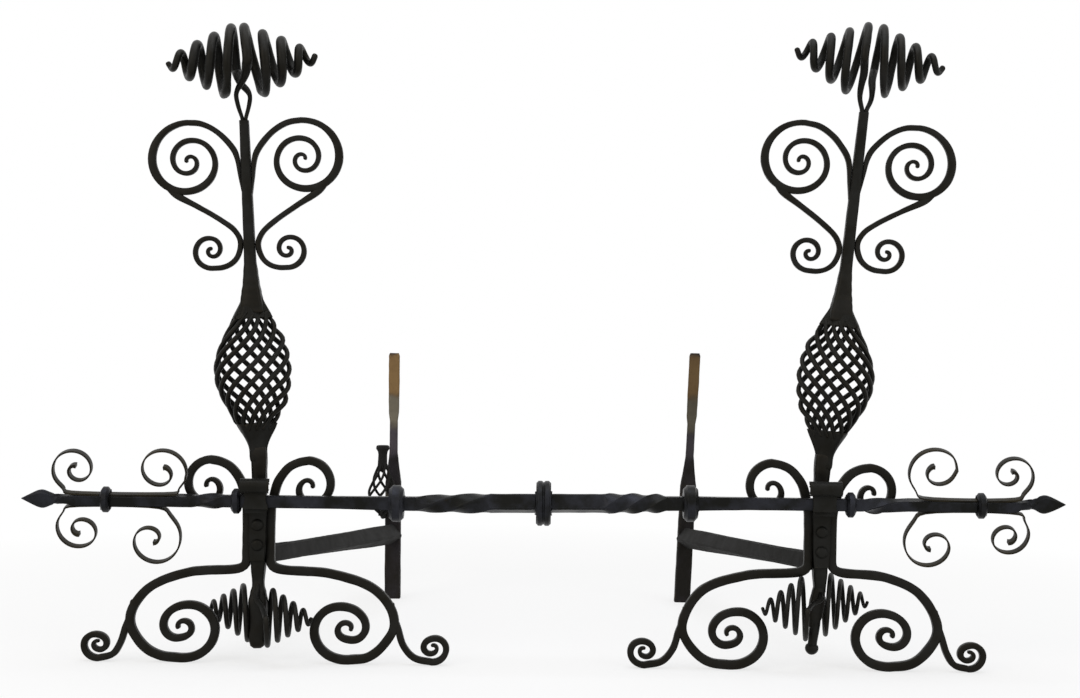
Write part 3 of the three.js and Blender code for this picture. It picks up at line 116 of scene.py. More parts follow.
# Matt white studio paint. It keeps a faint contact shadow under the feet, and beyond the
# object it is as white as the photograph's blank background.
floor_paint = bpy.data.materials.new("studio_floor_paint")
floor_paint.use_nodes = True
tree = floor_paint.node_tree
paint = tree.nodes["Principled BSDF"]
paint.inputs["Base Color"].default_value = linear(FLOOR_COLOUR)
paint.inputs["Roughness"].default_value = FLOOR_ROUGHNESS
from_middle = add(tree, "ShaderNodeVectorMath", {
    0: add(tree, "ShaderNodeTexCoord").outputs["Object"]}, operation="LENGTH").outputs["Value"]
shadow_share = add(tree, "ShaderNodeMapRange", {"Value": from_middle, 1: SHADOW_FADES[0],
                   2: SHADOW_FADES[1], 3: FLOOR_SHADOW_SHARE, 4: 0})
painted_white = add(tree, "ShaderNodeEmission", {0: WHITE, 1: 1.0})
seen = by_eye(tree)
seen_share = add(tree, "ShaderNodeMath", {0: seen, 1: shadow_share.outputs[0]},
                 operation="MULTIPLY")
unseen = add(tree, "ShaderNodeMath", {0: 1.0, 1: seen}, operation="SUBTRACT")
paint_share = add(tree, "ShaderNodeMath", {0: seen_share.outputs[0], 1: unseen.outputs[0]},
                  operation="ADD")
surface = add(tree, "ShaderNodeMixShader", {0: paint_share.outputs[0],
              1: painted_white.outputs[0], 2: paint.outputs[0]})
tree.links.new(surface.outputs[0], tree.nodes["Material Output"].inputs["Surface"])
floor_mesh.materials.append(floor_paint)

ROOM_LIGHT = "#f2f0ec"
ROOM_STRENGTH = 0.6
world = bpy.data.worlds.new("studio")
bpy.context.scene.world = world
world.use_nodes = True
tree = world.node_tree
tree.nodes.clear()
room = add(tree, "ShaderNodeBackground", {0: linear(ROOM_LIGHT), 1: ROOM_STRENGTH})
blank = add(tree, "ShaderNodeBackground", {0: WHITE, 1: 1.0})
around = add(tree, "ShaderNodeMixShader", {0: by_eye(tree), 1: room.outputs[0],
             2: blank.outputs[0]})
add(tree, "ShaderNodeOutputWorld", {0: around.outputs[0]})

OBJECT_MIDDLE = (0, -0.2, 0.4)
SOFTBOXES = {
    "overhead": {"at": (0.0, -0.6, 2.9), "size": (2.6, 1.8), "watts": 42, "colour": "#eef2ff"},
    "front_left": {"at": (-2.3, -2.8, 1.9), "size": (1.5, 1.5), "watts": 26, "colour": "#fff6ec"},
    "front_right": {"at": (2.4, -2.5, 1.4), "size": (1.3, 1.3), "watts": 14, "colour": "#f2f5ff"},
}
for name, box in SOFTBOXES.items():
    lamp = bpy.data.lights.new(name, "AREA")
    lamp.shape = "RECTANGLE"
    lamp.size, lamp.size_y = box["size"]
    lamp.energy = box["watts"]
    lamp.color = linear(box["colour"])[:3]
    softbox = bpy.data.objects.new(name, lamp)
    softbox.location = box["at"]
    facing = Vector(OBJECT_MIDDLE) - Vector(box["at"])
    softbox.rotation_euler = facing.to_track_quat("-Z", "Y").to_euler()
    bpy.context.scene.collection.objects.link(softbox)


# ---------------------------------------------------------------- posts
# Square bar, forged by hand and left in its black fire scale. The hammer has softened the
# arrises and left shallow flats on the faces; wax and handling have worn the edges brown.

HAMMER_FLAT_MM = 14
HAMMER_DEPTH_MM = 0.8
SCALE_PATCH_MM = 38
SCALE_PIT_MM = 1.6          # drawn coarser than the real pits, so that they show
PIT_DEPTH_MM = 0.25
# The sheen here is painted sheen: a lighter colour laid over the dark scale in random patches.
PAINTED_SHEEN_PATCHES = (0.42, 0.66)  # where the noise passes from the dark scale to the sheen
WORN_EDGES = (0.52, 0.62)   # pointiness from flat to arris
WORN_MOST = 0.55
GLOSS_PATCHES = (0.3, 0.7)  # where the noise passes from the smoother to the rougher scale
ROUGHNESS_SPREAD = (-0.08, 0.12)
BAND_EDGE_MM = 14
BAND_RAGGED_MM = 40


def forged_surface(name, dark, painted_sheen, worn, roughness, flat_mm=HAMMER_FLAT_MM, bands=(),
                   metallic=0.9):
    """Forged iron: dark scale, patches of painted sheen, brown arrises, hammer flats and fine
    pits.
    bands adds (colour, low height, high height, strength) where heat has changed the scale."""
    made = bpy.data.materials.new(name)
    made.use_nodes = True
    tree = made.node_tree
    shader = tree.nodes["Principled BSDF"]
    shader.inputs["Metallic"].default_value = metallic
    place = add(tree, "ShaderNodeTexCoord").outputs["Object"]
    patches = add(tree, "ShaderNodeTexNoise", {"Vector": place, "Detail": 5, "Roughness": 0.6,
                  "Scale": 1 / (SCALE_PATCH_MM * MM)}).outputs[0]
    flats = add(tree, "ShaderNodeTexNoise", {"Vector": place, "Detail": 1.5,
                "Scale": 1 / (flat_mm * MM)}).outputs[0]
    pits = add(tree, "ShaderNodeTexNoise", {"Vector": place, "Detail": 3,
               "Scale": 1 / (SCALE_PIT_MM * MM)}).outputs[0]
    # Random patches of painted sheen over the dark scale.
    painted_sheen_share = add(tree, "ShaderNodeMapRange", {"Value": patches, 1: PAINTED_SHEEN_PATCHES[0],
               2: PAINTED_SHEEN_PATCHES[1]})
    colour = add(tree, "ShaderNodeMix", {0: painted_sheen_share.outputs[0], 6: linear(dark), 7: linear(painted_sheen)},
                 data_type="RGBA").outputs[2]
    height = add(tree, "ShaderNodeSeparateXYZ", {0: place}).outputs[2]
    for band_colour, low, high, strength in bands:
        ragged = add(tree, "ShaderNodeMath", {0: patches, 1: BAND_RAGGED_MM * MM, 2: height},
                     operation="MULTIPLY_ADD").outputs[0]
        rise = add(tree, "ShaderNodeMapRange", {"Value": ragged, 1: low * MM,
                   2: (low + BAND_EDGE_MM) * MM, 3: 0, 4: strength},
                   interpolation_type="SMOOTHSTEP")
        fall = add(tree, "ShaderNodeMapRange", {"Value": ragged, 1: high * MM,
                   2: (high + BAND_EDGE_MM) * MM, 3: 1, 4: 0}, interpolation_type="SMOOTHSTEP")
        share = add(tree, "ShaderNodeMath", {0: rise.outputs[0], 1: fall.outputs[0]},
                    operation="MULTIPLY")
        colour = add(tree, "ShaderNodeMix", {0: share.outputs[0], 6: colour,
                     7: linear(band_colour)}, data_type="RGBA").outputs[2]
    edge = add(tree, "ShaderNodeNewGeometry").outputs["Pointiness"]
    worn_edge = add(tree, "ShaderNodeMapRange", {"Value": edge, 1: WORN_EDGES[0],
                    2: WORN_EDGES[1], 3: 0, 4: WORN_MOST})
    rubbed = add(tree, "ShaderNodeMath", {0: worn_edge.outputs[0], 1: flats},
                 operation="MULTIPLY")
    colour = add(tree, "ShaderNodeMix", {0: rubbed.outputs[0], 6: colour, 7: linear(worn)},
                 data_type="RGBA").outputs[2]
    tree.links.new(colour, shader.inputs["Base Color"])
    gloss = add(tree, "ShaderNodeMapRange", {"Value": patches, 1: GLOSS_PATCHES[0],
                2: GLOSS_PATCHES[1], 3: roughness + ROUGHNESS_SPREAD[0],
                4: roughness + ROUGHNESS_SPREAD[1]})
    tree.links.new(gloss.outputs[0], shader.inputs["Roughness"])
    hammered = add(tree, "ShaderNodeBump", {"Height": flats, "Strength": 0.35,
                   "Distance": HAMMER_DEPTH_MM * MM})
    pitted = add(tree, "ShaderNodeBump", {"Height": pits, "Strength": 0.25,
                 "Distance": PIT_DEPTH_MM * MM, "Normal": hammered.outputs[0]})
    tree.links.new(pitted.outputs[0], shader.inputs["Normal"])
    return made


ARRIS_ANGLE = math.radians(38)
QUAD_TURN = math.radians(40)
QUAD_SKEW = math.radians(50)
MERGE_MM = 0.01
SMOOTH_LEVELS = 2
SETTLE_STEPS = 4
SETTLE_SHARE = 0.85


def drawn_through(bm):
    """The smooth form that passes through the corners of bm, as a new mesh."""
    corners = [v.co.copy() for v in bm.verts]
    form = bpy.data.meshes.new("form")
    shaped = bpy.data.objects.new("form", form)
    bpy.context.scene.collection.objects.link(shaped)
    smoothing = shaped.modifiers.new("smoothing", "SUBSURF")
    smoothing.levels = smoothing.render_levels = SMOOTH_LEVELS
    for settle in range(SETTLE_STEPS):
        bm.to_mesh(form)
        form.update()
        smooth = bpy.data.meshes.new_from_object(
            shaped.evaluated_get(bpy.context.evaluated_depsgraph_get()))
        if settle == SETTLE_STEPS - 1:
            break
        for vertex, corner, reached in zip(bm.verts, corners, smooth.vertices):
            vertex.co += (corner - reached.co) * SETTLE_SHARE
        bpy.data.meshes.remove(smooth)
    bpy.data.objects.remove(shaped)
    return smooth


def shown(bm, name, body, material, nodes, dent):
    """The finished piece from bm, dented by the hammer. It rides on body in the nodes' place."""
    bm.normal_update()
    for vertex in bm.verts:
        mark = noise.noise(vertex.co / (HAMMER_FLAT_MM * MM))
        vertex.co += vertex.normal * (dent * MM * mark)
    for face in bm.faces:
        face.smooth = True
    mesh = bpy.data.meshes.new(name)
    bm.to_mesh(mesh)
    bm.free()
    made = bpy.data.objects.new(name, mesh)
    bpy.context.scene.collection.objects.link(made)
    mesh.materials.clear()
    mesh.materials.append(material)
    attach(made, body)
    if nodes:
        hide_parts(*nodes)


def forge(nodes, name, body, material, arris=0, longest=None, dent=0.25, swell=0,
          reshape=None):
    """One visible piece from CAD nodes: faces joined, arrises softened, the runs drawn smooth.
    swell makes it thicker by so many mm all round. reshape takes a point in mm and its
    normal, and returns where the hammer has moved it."""
    finished = bmesh.new()
    for node in nodes:
        bm = bmesh.new()
        bm.from_mesh(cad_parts[node].data)
        bmesh.ops.remove_doubles(bm, verts=bm.verts, dist=MERGE_MM * MM)
        bmesh.ops.join_triangles(bm, faces=bm.faces, angle_face_threshold=QUAD_TURN,
                                 angle_shape_threshold=QUAD_SKEW)
        if longest:
            long_runs = [e for e in bm.edges if e.calc_length() > longest * MM]
            cuts = int(max(e.calc_length() for e in long_runs) / (longest * MM))
            bmesh.ops.subdivide_edges(bm, edges=long_runs, cuts=cuts, use_grid_fill=True)
        if arris:
            sharp = [e for e in bm.edges if e.calc_face_angle(0) > ARRIS_ANGLE]
            bmesh.ops.bevel(bm, geom=sharp, offset=arris * MM, offset_type="OFFSET", segments=1,
                            profile=0.5, affect="EDGES", clamp_overlap=True, material=-1)
        smooth = drawn_through(bm)
        bm.free()
        finished.from_mesh(smooth)
        bpy.data.meshes.remove(smooth)
    finished.normal_update()
    for vertex in finished.verts:
        vertex.co += vertex.normal * (swell * MM)
        if reshape:
            vertex.co = reshape(vertex.co / MM, vertex.normal) * MM
    shown(finished, name, body, material, nodes, dent)


# Black fire scale on hand-forged iron: a dull black under faint patches of painted sheen. It
# turns brown at the arrises.
black_scale = forged_surface("black_forged_iron_scale", dark="#191814", painted_sheen="#232321",
                             worn="#3a3022", roughness=0.5)

SIDES = ("left", "right")
POST_SIZE = 18
POST_FOOT_Z = 103
FOOT_TAPER = 26
FOOT_NECK_SHARE = 0.8
BAR_ARRIS = 0.8
RUN_LENGTH = 14
post_axis = {
    "left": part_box("left_lower_post")[1].x / MM - POST_SIZE / 2,
    "right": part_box("right_lower_post")[0].x / MM + POST_SIZE / 2,
}


def eased(low, high, value):
    """0 below low, 1 above high and an even swell between them."""
    share = min(max((value - low) / (high - low), 0), 1)
    return share * share * (3 - 2 * share)


def necked(side, place, normal):
    """The post's foot, drawn in towards the fork."""
    full = eased(POST_FOOT_Z, POST_FOOT_Z + FOOT_TAPER, place.z)
    axis = Vector((post_axis[side], FRONT_PLANE_Y, place.z))
    return axis + (place - axis) * (1 - (1 - FOOT_NECK_SHARE) * (1 - full))


for side in SIDES:
    forge([f"{side}_lower_post"], f"{side}_forged_lower_post", f"{side}_andiron", black_scale,
          arris=BAR_ARRIS, longest=RUN_LENGTH, reshape=partial(necked, side))
    forge([f"{side}_upper_post"], f"{side}_forged_upper_post", f"{side}_andiron", black_scale,
          arris=BAR_ARRIS, longest=RUN_LENGTH)


# ---------------------------------------------------------------- baskets
# Twelve thin rods, forge-welded together into a solid neck at both ends, then heated and
# untwisted so that they bulge into an open basket. The welds swell over both post ends.

ROD_SWELL = 0.85
OUTWARD = {"left": -1, "right": 1}
POST_BEND_Z = 240
LEAN = {"left": 3.25, "right": 5.85}     # degrees, from the bend up
# Height and half width of the welds, on the post's axis.
TOP_NECK = ((536, 7.3), (523, 7.7), (508, 9), (494, 10.4), (482, 12.2), (474, 13.5),
            (466, 14.6), (456, 14.8))
BOTTOM_NECK = ((234, 8.6), (248, 9.2), (262, 9.9), (272, 9.9), (280, 9.4))
NECK_FLAT = {"top": 0.86, "bottom": 1}
NECK_CORNER = 4
NECK_STEP = 2.5
NECK_DENT = 0.3
CURVE_FINENESS = 24
CORNER_MOST = 0.7            # of half the thickness
CAP_SHARE = 0.55
CAP_RISE = 0.8
TINY = 1e-6


def blend(a, b, share):
    """The value that lies a share of the way from a to b."""
    return a + (b - a) * share


def at_stop(stops, t):
    """Value at t of a list of (t, value) stops, eased between them."""
    for (t0, v0), (t1, v1) in zip(stops, stops[1:]):
        if t <= t1:
            return blend(v0, v1, eased(t0, t1, t))
    return stops[-1][1]


def curve_through(points, step):
    """A smooth curve through a few points, divided evenly into lengths of about step mm."""
    points = [Vector(p) for p in points]
    ends = [points[0] * 2 - points[1], *points, points[-1] * 2 - points[-2]]
    fine = []
    for p0, p1, p2, p3 in zip(ends, ends[1:], ends[2:], ends[3:]):
        d1, d2, d3 = [math.sqrt(max((b - a).length, TINY))
                      for a, b in ((p0, p1), (p1, p2), (p2, p3))]
        m1 = p2 - p1 + d2 * ((p1 - p0) / d1 - (p2 - p0) / (d1 + d2))
        m2 = p2 - p1 + d2 * ((p3 - p2) / d3 - (p3 - p1) / (d2 + d3))
        for i in range(CURVE_FINENESS):
            t = i / CURVE_FINENESS
            fine.append(p1 + m1 * t + (p1 * -3 + p2 * 3 - m1 * 2 - m2) * t ** 2
                        + (p1 * 2 - p2 * 2 + m1 + m2) * t ** 3)
    fine.append(points[-1])
    length = sum((b - a).length for a, b in zip(fine, fine[1:]))
    stride = length / max(round(length / step), 1)
    even, due, covered = [fine[0]], stride, 0
    for a, b in zip(fine, fine[1:]):
        run = (b - a).length
        while covered + run >= due - TINY and run > 0:
            even.append(a.lerp(b, (due - covered) / run))
            due += stride
        covered += run
    return even


def bar_ring(path, i, thickness, depth, corner):
    """Corner-rounded section of a bar at station i of its path."""
    ahead = path[min(i + 1, len(path) - 1)] - path[max(i - 1, 0)]
    across = Vector((-ahead.y, ahead.x)).normalized()
    half_t, half_d = thickness / 2, depth / 2
    r = min(corner, half_t * CORNER_MOST)
    ring = []
    for quadrant in range(4):
        turn = quadrant * math.pi / 2 + math.pi / 4
        sign_t, sign_d = math.copysign(1, math.cos(turn)), math.copysign(1, math.sin(turn))
        for step in range(3):
            angle = quadrant * math.pi / 2 + step * math.pi / 4
            u = sign_t * (half_t - r) + r * math.cos(angle)
            v = sign_d * (half_d - r) + r * math.sin(angle)
            ring.append(Vector((path[i].x + across.x * u, v, path[i].y + across.y * u)))
    return ring


def draw_bar(bm, path, thickness, depth, corner):
    """Draws a bar along a path of (x, z) points: each station is extruded from the last.
    thickness and depth are functions of the share of the path that is drawn."""
    rings = []
    for i in range(len(path)):
        t = i / (len(path) - 1)
        rings.append(bar_ring(path, i, thickness(t), depth(t), corner))
    for end, inner in ((0, 1), (-1, -2)):
        middle = sum(rings[end], Vector()) / len(rings[end])
        out = (middle - sum(rings[inner], Vector()) / len(rings[end])).normalized()
        cap = [middle.lerp(p, CAP_SHARE) + out * corner * CAP_RISE for p in rings[end]]
        rings = [cap, *rings] if end == 0 else [*rings, cap]
    first = [bm.verts.new(p) for p in rings[0]]
    face = bm.faces.new(first)
    for ring in rings[1:]:
        face = bmesh.ops.extrude_discrete_faces(bm, faces=[face])["faces"][0]
        for vertex, place in zip(face.verts, ring):
            vertex.co = place
    bm.faces.new(first[::-1])


def swelling_bar(bm, stops, flat):
    """An upright bar whose half width is given at heights, from the top down. It is flatter
    front to back than it is wide, by the share flat at its last height."""
    top, bottom = stops[0][0], stops[-1][0]
    widths = [((z - top) / (bottom - top), 2 * half) for z, half in stops]
    path = curve_through([(0, top), (0, blend(top, bottom, 0.5)), (0, bottom)], NECK_STEP)
    draw_bar(bm, path, lambda t: at_stop(widths, t),
             lambda t: at_stop(widths, t) * blend(1, flat, t), NECK_CORNER)


def stand(bm, side, lean):
    """Stands a piece that is drawn on its post's axis in its place, leaning outwards."""
    turn = Matrix.Rotation(OUTWARD[side] * math.radians(lean), 3, "Y")
    bmesh.ops.rotate(bm, verts=bm.verts, cent=(0, 0, POST_BEND_Z), matrix=turn)
    bmesh.ops.translate(bm, verts=bm.verts, vec=(post_axis[side], FRONT_PLANE_Y, 0))
    bmesh.ops.scale(bm, verts=bm.verts, vec=(MM, MM, MM))
    bmesh.ops.recalc_face_normals(bm, faces=bm.faces)


for side in SIDES:
    forge([f"{side}_basket"], f"{side}_twisted_basket", f"{side}_andiron", black_scale,
          swell=ROD_SWELL)

for side in SIDES:
    # The lower weld lies across the bend, so it takes half the lean.
    for end, stops, lean in (("top", TOP_NECK, LEAN[side]),
                             ("bottom", BOTTOM_NECK, LEAN[side] / 2)):
        bm = bmesh.new()
        swelling_bar(bm, stops, NECK_FLAT[end])
        stand(bm, side, lean)
        shown(bm, f"{side}_{end}_neck_weld", f"{side}_andiron", black_scale, [],
              NECK_DENT)


# ---------------------------------------------------------------- top coils
# Each prong of the split post end is drawn out round and wound on a cone, the thick end at the
# post and the thin tip outwards.

COIL_SWELL = (1.3, 2.1)       # mm, at the post and at the tip
COIL_FORK_Z = (738, 772)      # where the prongs pass into the cone
COIL_REACH = 90
COIL_DENT = 0.3
EYE_SHARE = {"left": 0.8, "right": 1}
EYE_REACH = (14, 26)


def wound(side, place, normal):
    """Fuller wire on the cone, most of all at its tip, and a closer eye at the fork."""
    lean = OUTWARD[side] * math.tan(math.radians(LEAN[side]))
    axis_x = post_axis[side] + (place.z - POST_BEND_Z) * lean
    off_axis = abs(place.x - axis_x)
    on_cone = eased(*COIL_FORK_Z, place.z)
    fuller = blend(*COIL_SWELL, min(off_axis / COIL_REACH, 1)) * on_cone
    closed = blend(EYE_SHARE[side], 1, max(on_cone, eased(*EYE_REACH, off_axis)))
    place = place + normal * fuller
    return Vector((axis_x + (place.x - axis_x) * closed, place.y, place.z))


for side in SIDES:
    for where in ("outer", "inner"):
        forge([f"{side}_top_coil_{where}"], f"{side}_wound_top_{where}", f"{side}_andiron",
              black_scale, dent=COIL_DENT, reshape=partial(wound, side))


# ---------------------------------------------------------------- heart scrolls
# Flat bar rolled into a big spiral, thickest where a second bar is forge-welded to its back
# and runs in to the post and curls into a small one. Both spirals are welded to the post.

POST_NECK_SIZE = 15
POST_TOP_SIZE = 12
BASKET_TOP_Z = 505
WELD_GAP = 0.3
# Heights of the fork, where the post ends, and of the big scrolls' eyes.
HEART = {
    "left": {"fork": 706, "outer": 655.5, "inner": 652.5},
    "right": {"fork": 729, "outer": 666, "inner": 656},
}
HEART_EYE_OUT = 74
HEART_DEPTH = 9
HEART_BRANCH_DEPTH = 8.4
HEART_CORNER = 1.6
HEART_DENT = 0.3
HEART_STEP = 3
# Radius after each quarter turn, from the top of the scroll.
HEART_RADII = (50.5, 47.5, 38.5, 34, 27, 20.5, 15, 10, 6, 3)
HEART_QUARTER = 14
# The scarf, out from the post's face and above the eye, then the lead, out from its axis.
HEART_SCARF = ((-0.9, -42), (1.8, -21), (3.6, -1), (7.2, 11))
HEART_LEAD = ((22.2, 23), (38.48, 39), (56.98, 48.5))
# Thickness at shares of the lead, then at quarter turns of the scroll, then at its tip.
HEART_LEAD_BAR = ((0, 1.8), (0.45, 7.6), (0.8, 7.4), (1, 7.2))
HEART_SCROLL_BAR = ((1, 10.6), (2, 9), (3.2, 7))
HEART_TIP_BAR = 4.6
BRANCH_START = 22             # station of the big scroll where the branch is welded on
BRANCH_TURN_IN = 0.3
BRANCH_DROP = 1.1
BRANCH_RUN = ((63.64, -60), (35.52, -78), (17.76, -93))
BRANCH_BAR = ((0, 9.5), (0.3, 7), (1, 6.8))
BRANCH_TIP_BAR = 5
TOUCH_RISE = 9
TOUCH_OUT = 3.78
SMALL_EYE_OUT = 49.5
SMALL_EYE_DROP = 117
SMALL_RADII = (23, 21, 16, 11, 7.5, 4.5, 2.5)
SMALL_QUARTER = 12
# Past the point where the branch touches the post: out from it and below the small eye.
SMALL_RUN = ((5, -9.66), (14, -18.4), (25, -22.54))


def quarter_scroll(eye, radii, start, sense, per_quarter):
    """Points of a scroll whose radius is given after each quarter turn; start in degrees."""
    points = []
    for i in range((len(radii) - 1) * per_quarter + 1):
        k = min(i // per_quarter, len(radii) - 2)
        t = i / per_quarter - k
        before, here, there, after = [radii[min(max(n, 0), len(radii) - 1)]
                                      for n in range(k - 1, k + 3)]
        slope0, slope1 = (there - before) / 2, (after - here) / 2
        r = (here * (2 * t ** 3 - 3 * t ** 2 + 1) + there * (3 * t ** 2 - 2 * t ** 3)
             + slope0 * (t ** 3 - 2 * t ** 2 + t) + slope1 * (t ** 3 - t ** 2))
        angle = math.radians(start + sense * 90 * i / per_quarter)
        points.append(Vector((eye[0] + r * math.cos(angle), eye[1] + r * math.sin(angle))))
    return points


def post_half(z, fork):
    """Half the width of the tapering post at height z."""
    share = min(max((z - BASKET_TOP_Z) / (fork - BASKET_TOP_Z), 0), 1)
    return blend(POST_NECK_SIZE, POST_TOP_SIZE, share) / 2


def turned_to(side, where, path):
    """A path drawn outwards from the post, turned to its own side of it."""
    away = OUTWARD[side] * (1 if where == "outer" else -1)
    return [Vector((away * p.x, p.y)) for p in path]


for side in SIDES:
    for where in ("outer", "inner"):
        eye_z, fork = HEART[side][where], HEART[side]["fork"]
        face = post_half(eye_z + HEART_SCARF[0][1], fork) + WELD_GAP
        big = quarter_scroll((HEART_EYE_OUT, eye_z), HEART_RADII, 90, -1, HEART_QUARTER)
        lead = curve_through([*((face + out, eye_z + up) for out, up in HEART_SCARF),
                              *((out, eye_z + up) for out, up in HEART_LEAD), big[0]],
                             HEART_STEP)
        small_eye = (SMALL_EYE_OUT, eye_z - SMALL_EYE_DROP)
        small = quarter_scroll(small_eye, SMALL_RADII, -90, 1, SMALL_QUARTER)
        touch_z = small_eye[1] + TOUCH_RISE
        touch_x = post_half(touch_z, fork) + WELD_GAP + TOUCH_OUT
        weld = big[BRANCH_START]
        branch = curve_through([weld, (blend(weld.x, HEART_EYE_OUT, BRANCH_TURN_IN),
                                       eye_z - HEART_RADII[2] * BRANCH_DROP),
                                *((out, eye_z + up) for out, up in BRANCH_RUN),
                                (touch_x, touch_z),
                                *((touch_x + out, small_eye[1] + up) for out, up in SMALL_RUN),
                                small[0]], HEART_STEP)
        crest = len(lead) / (len(lead) + len(big))
        quarter = (1 - crest) / (len(HEART_RADII) - 1)
        main_bar = [*((crest * share, size) for share, size in HEART_LEAD_BAR),
                    *((crest + quarter * turns, size) for turns, size in HEART_SCROLL_BAR),
                    (1, HEART_TIP_BAR)]
        bend = len(branch) / (len(branch) + len(small))
        branch_bar = [*((bend * share, size) for share, size in BRANCH_BAR), (1, BRANCH_TIP_BAR)]
        bm = bmesh.new()
        draw_bar(bm, turned_to(side, where, lead[:-1] + big), lambda t: at_stop(main_bar, t),
                 lambda t: HEART_DEPTH, HEART_CORNER)
        draw_bar(bm, turned_to(side, where, branch[:-1] + small),
                 lambda t: at_stop(branch_bar, t), lambda t: HEART_BRANCH_DEPTH, HEART_CORNER)
        stand(bm, side, LEAN[side])
        shown(bm, f"{side}_rolled_heart_{where}", f"{side}_andiron", black_scale,
              [f"{side}_heart_scroll_{where}"], HEART_DENT)


# ---------------------------------------------------------------- legs
# Heavier square bar: a small scroll above the crossbar, down beside the post, out in an arch
# and under into a big scroll, with a foot branch forge-welded to its shoulder.

LEG_BAR = 11.6
LEG_DEPTH = 12.7
LEG_CORNER = 2
LEG_DENT = 0.35
LEG_QUARTER = 14
RUN_STEP = 3
ARCH_STEP = 4
ARCH_Z = {"left": 123.5, "right": 128.5}
LEG_EYE_Z = 45
LEG_SCROLL_RADII = (44.5, 28.5, 22, 13, 14, 8, 3)
# How far the scroll's eye, the shoulder and the foot stand out from the post's axis, and how
# much higher than the others the small scroll stands.
LEG_REACH = {
    "left_outer": {"eye": 100, "shoulder": 166, "foot": 207, "foot_end": 210, "rise": 0},
    "left_inner": {"eye": 118, "shoulder": 177.5, "foot": 227, "foot_end": 230, "rise": 0},
    "right_outer": {"eye": 92, "shoulder": 154, "foot": 195, "foot_end": 198, "rise": 0},
    "right_inner": {"eye": 116.5, "shoulder": 178, "foot": 226.5, "foot_end": 229.5,
                    "rise": 4.5},
}
RISER_SCROLL_OUT = 64
RISER_SCROLL_Z = 229.5
RISER_SCROLL_RADII = (34.5, 28, 20, 12, 8.5, 5)
# From the small scroll's eye, then out from the riser and above that eye.
RISER_CREST = ((-13, 32), (-25, 26), (-35, 15))
RISER_FALL = ((8, 4), (4, -11), (0.8, -26), (0, -42))
# Out from the riser and above the arch, then from the shoulder, above the arch or the eye.
RISER_FOOT = ((0, 26), (1.5, 6), (9, 0))
ARCH_MIDDLE_DROP = 6.5
ARCH_FALL = (-26, -26)
SHOULDER_RUN = ((-3, 24), (-1, 2), (-20, -26))
SOLE_SHARE = 0.4
SOLE_RISE = 3
LEG_TIP_BAR = 5.4
LEG_RISER_BAR = 11
LEG_INNER_BAR = 10
LEG_INNER_SHARE = 0.14
FOOT_EYE_Z = 22.6
FOOT_RADII = (18.4, 18.2, 12, 11, 7.2, 6, 3.4)
FOOT_QUARTER = 12
FOOT_DEPTH = 11.7
# Out from the shoulder and above the leg's eye; the last is half-way to the foot.
FOOT_RUN = ((-2, 34), (1, 16), (5, 2), (12, -20))
FOOT_LOW = -35.5
FOOT_BAR = ((0, 3), (0.12, 8.4), (0.6, 8), (0.8, 6.4), (0.9, 4.8), (1, 4))

riser = POST_SIZE / 2 + WELD_GAP + LEG_BAR / 2
sole = LEG_EYE_Z - LEG_BAR / 2
for side in SIDES:
    for where in ("outer", "inner"):
        reach, arch_z = LEG_REACH[f"{side}_{where}"], ARCH_Z[side]
        eye, shoulder = reach["eye"], reach["shoulder"]
        top_z = RISER_SCROLL_Z + reach["rise"]
        top = quarter_scroll((RISER_SCROLL_OUT, top_z), RISER_SCROLL_RADII, 90, -1, LEG_QUARTER)
        flare = curve_through([
            top[0], *((RISER_SCROLL_OUT + out, top_z + up) for out, up in RISER_CREST),
            *((riser + out, top_z + up) for out, up in RISER_FALL),
            (riser, arch_z + RISER_FOOT[0][1])], RUN_STEP)
        scroll = quarter_scroll((eye, LEG_EYE_Z), (sole, *LEG_SCROLL_RADII), -90, -1,
                                LEG_QUARTER)
        arch = curve_through([
            *((riser + out, arch_z + up) for out, up in RISER_FOOT),
            (blend(riser, shoulder, 0.5), arch_z - ARCH_MIDDLE_DROP),
            (shoulder + ARCH_FALL[0], arch_z + ARCH_FALL[1]),
            *((shoulder + out, LEG_EYE_Z + up) for out, up in SHOULDER_RUN),
            (blend(eye, shoulder, SOLE_SHARE), LEG_EYE_Z - sole + SOLE_RISE), scroll[0]],
            ARCH_STEP)
        path = top[::-1] + flare[1:] + arch[1:] + scroll[1:]
        flared = (len(top) + len(flare) * 0.5) / len(path)
        turned = (len(top) + len(flare) + len(arch)) / len(path)
        leg_bar = [(0, LEG_TIP_BAR), (len(top) / len(path), LEG_RISER_BAR), (flared, LEG_BAR),
                   (turned, LEG_BAR), (turned + LEG_INNER_SHARE, LEG_INNER_BAR),
                   (1, LEG_TIP_BAR)]
        foot = quarter_scroll((reach["foot"], FOOT_EYE_Z), FOOT_RADII, -90, 1, FOOT_QUARTER)
        foot_run = curve_through([
            *((shoulder + out, LEG_EYE_Z + up) for out, up in FOOT_RUN),
            (blend(shoulder, reach["foot_end"], 0.5), LEG_EYE_Z + FOOT_LOW), foot[0]], RUN_STEP)
        bm = bmesh.new()
        draw_bar(bm, turned_to(side, where, path), lambda t: at_stop(leg_bar, t),
                 lambda t: LEG_DEPTH, LEG_CORNER)
        draw_bar(bm, turned_to(side, where, foot_run[:-1] + foot),
                 lambda t: at_stop(FOOT_BAR, t), lambda t: FOOT_DEPTH, LEG_CORNER)
        stand(bm, side, 0)
        shown(bm, f"{side}_scrolled_leg_{where}", f"{side}_andiron", black_scale,
              [f"{side}_leg_{where}"], LEG_DENT)


# ---------------------------------------------------------------- hooks
# Flat bar riveted up the front of the post, bent forward under the crossbar and up again, its
# top edge rolled over into a lip.

HOOK_ARRIS = 1
LIP_Z = 216
LIP_RISE = 12
LIP_SHARE = {"left": 0.8, "right": 0.9}


def tapered_lip(side, place, normal):
    """The rolled lip, narrower than the bar it is rolled from."""
    share = blend(1, LIP_SHARE[side], eased(LIP_Z - LIP_RISE, LIP_Z, place.z))
    return Vector((post_axis[side] + (place.x - post_axis[side]) * share, place.y, place.z))


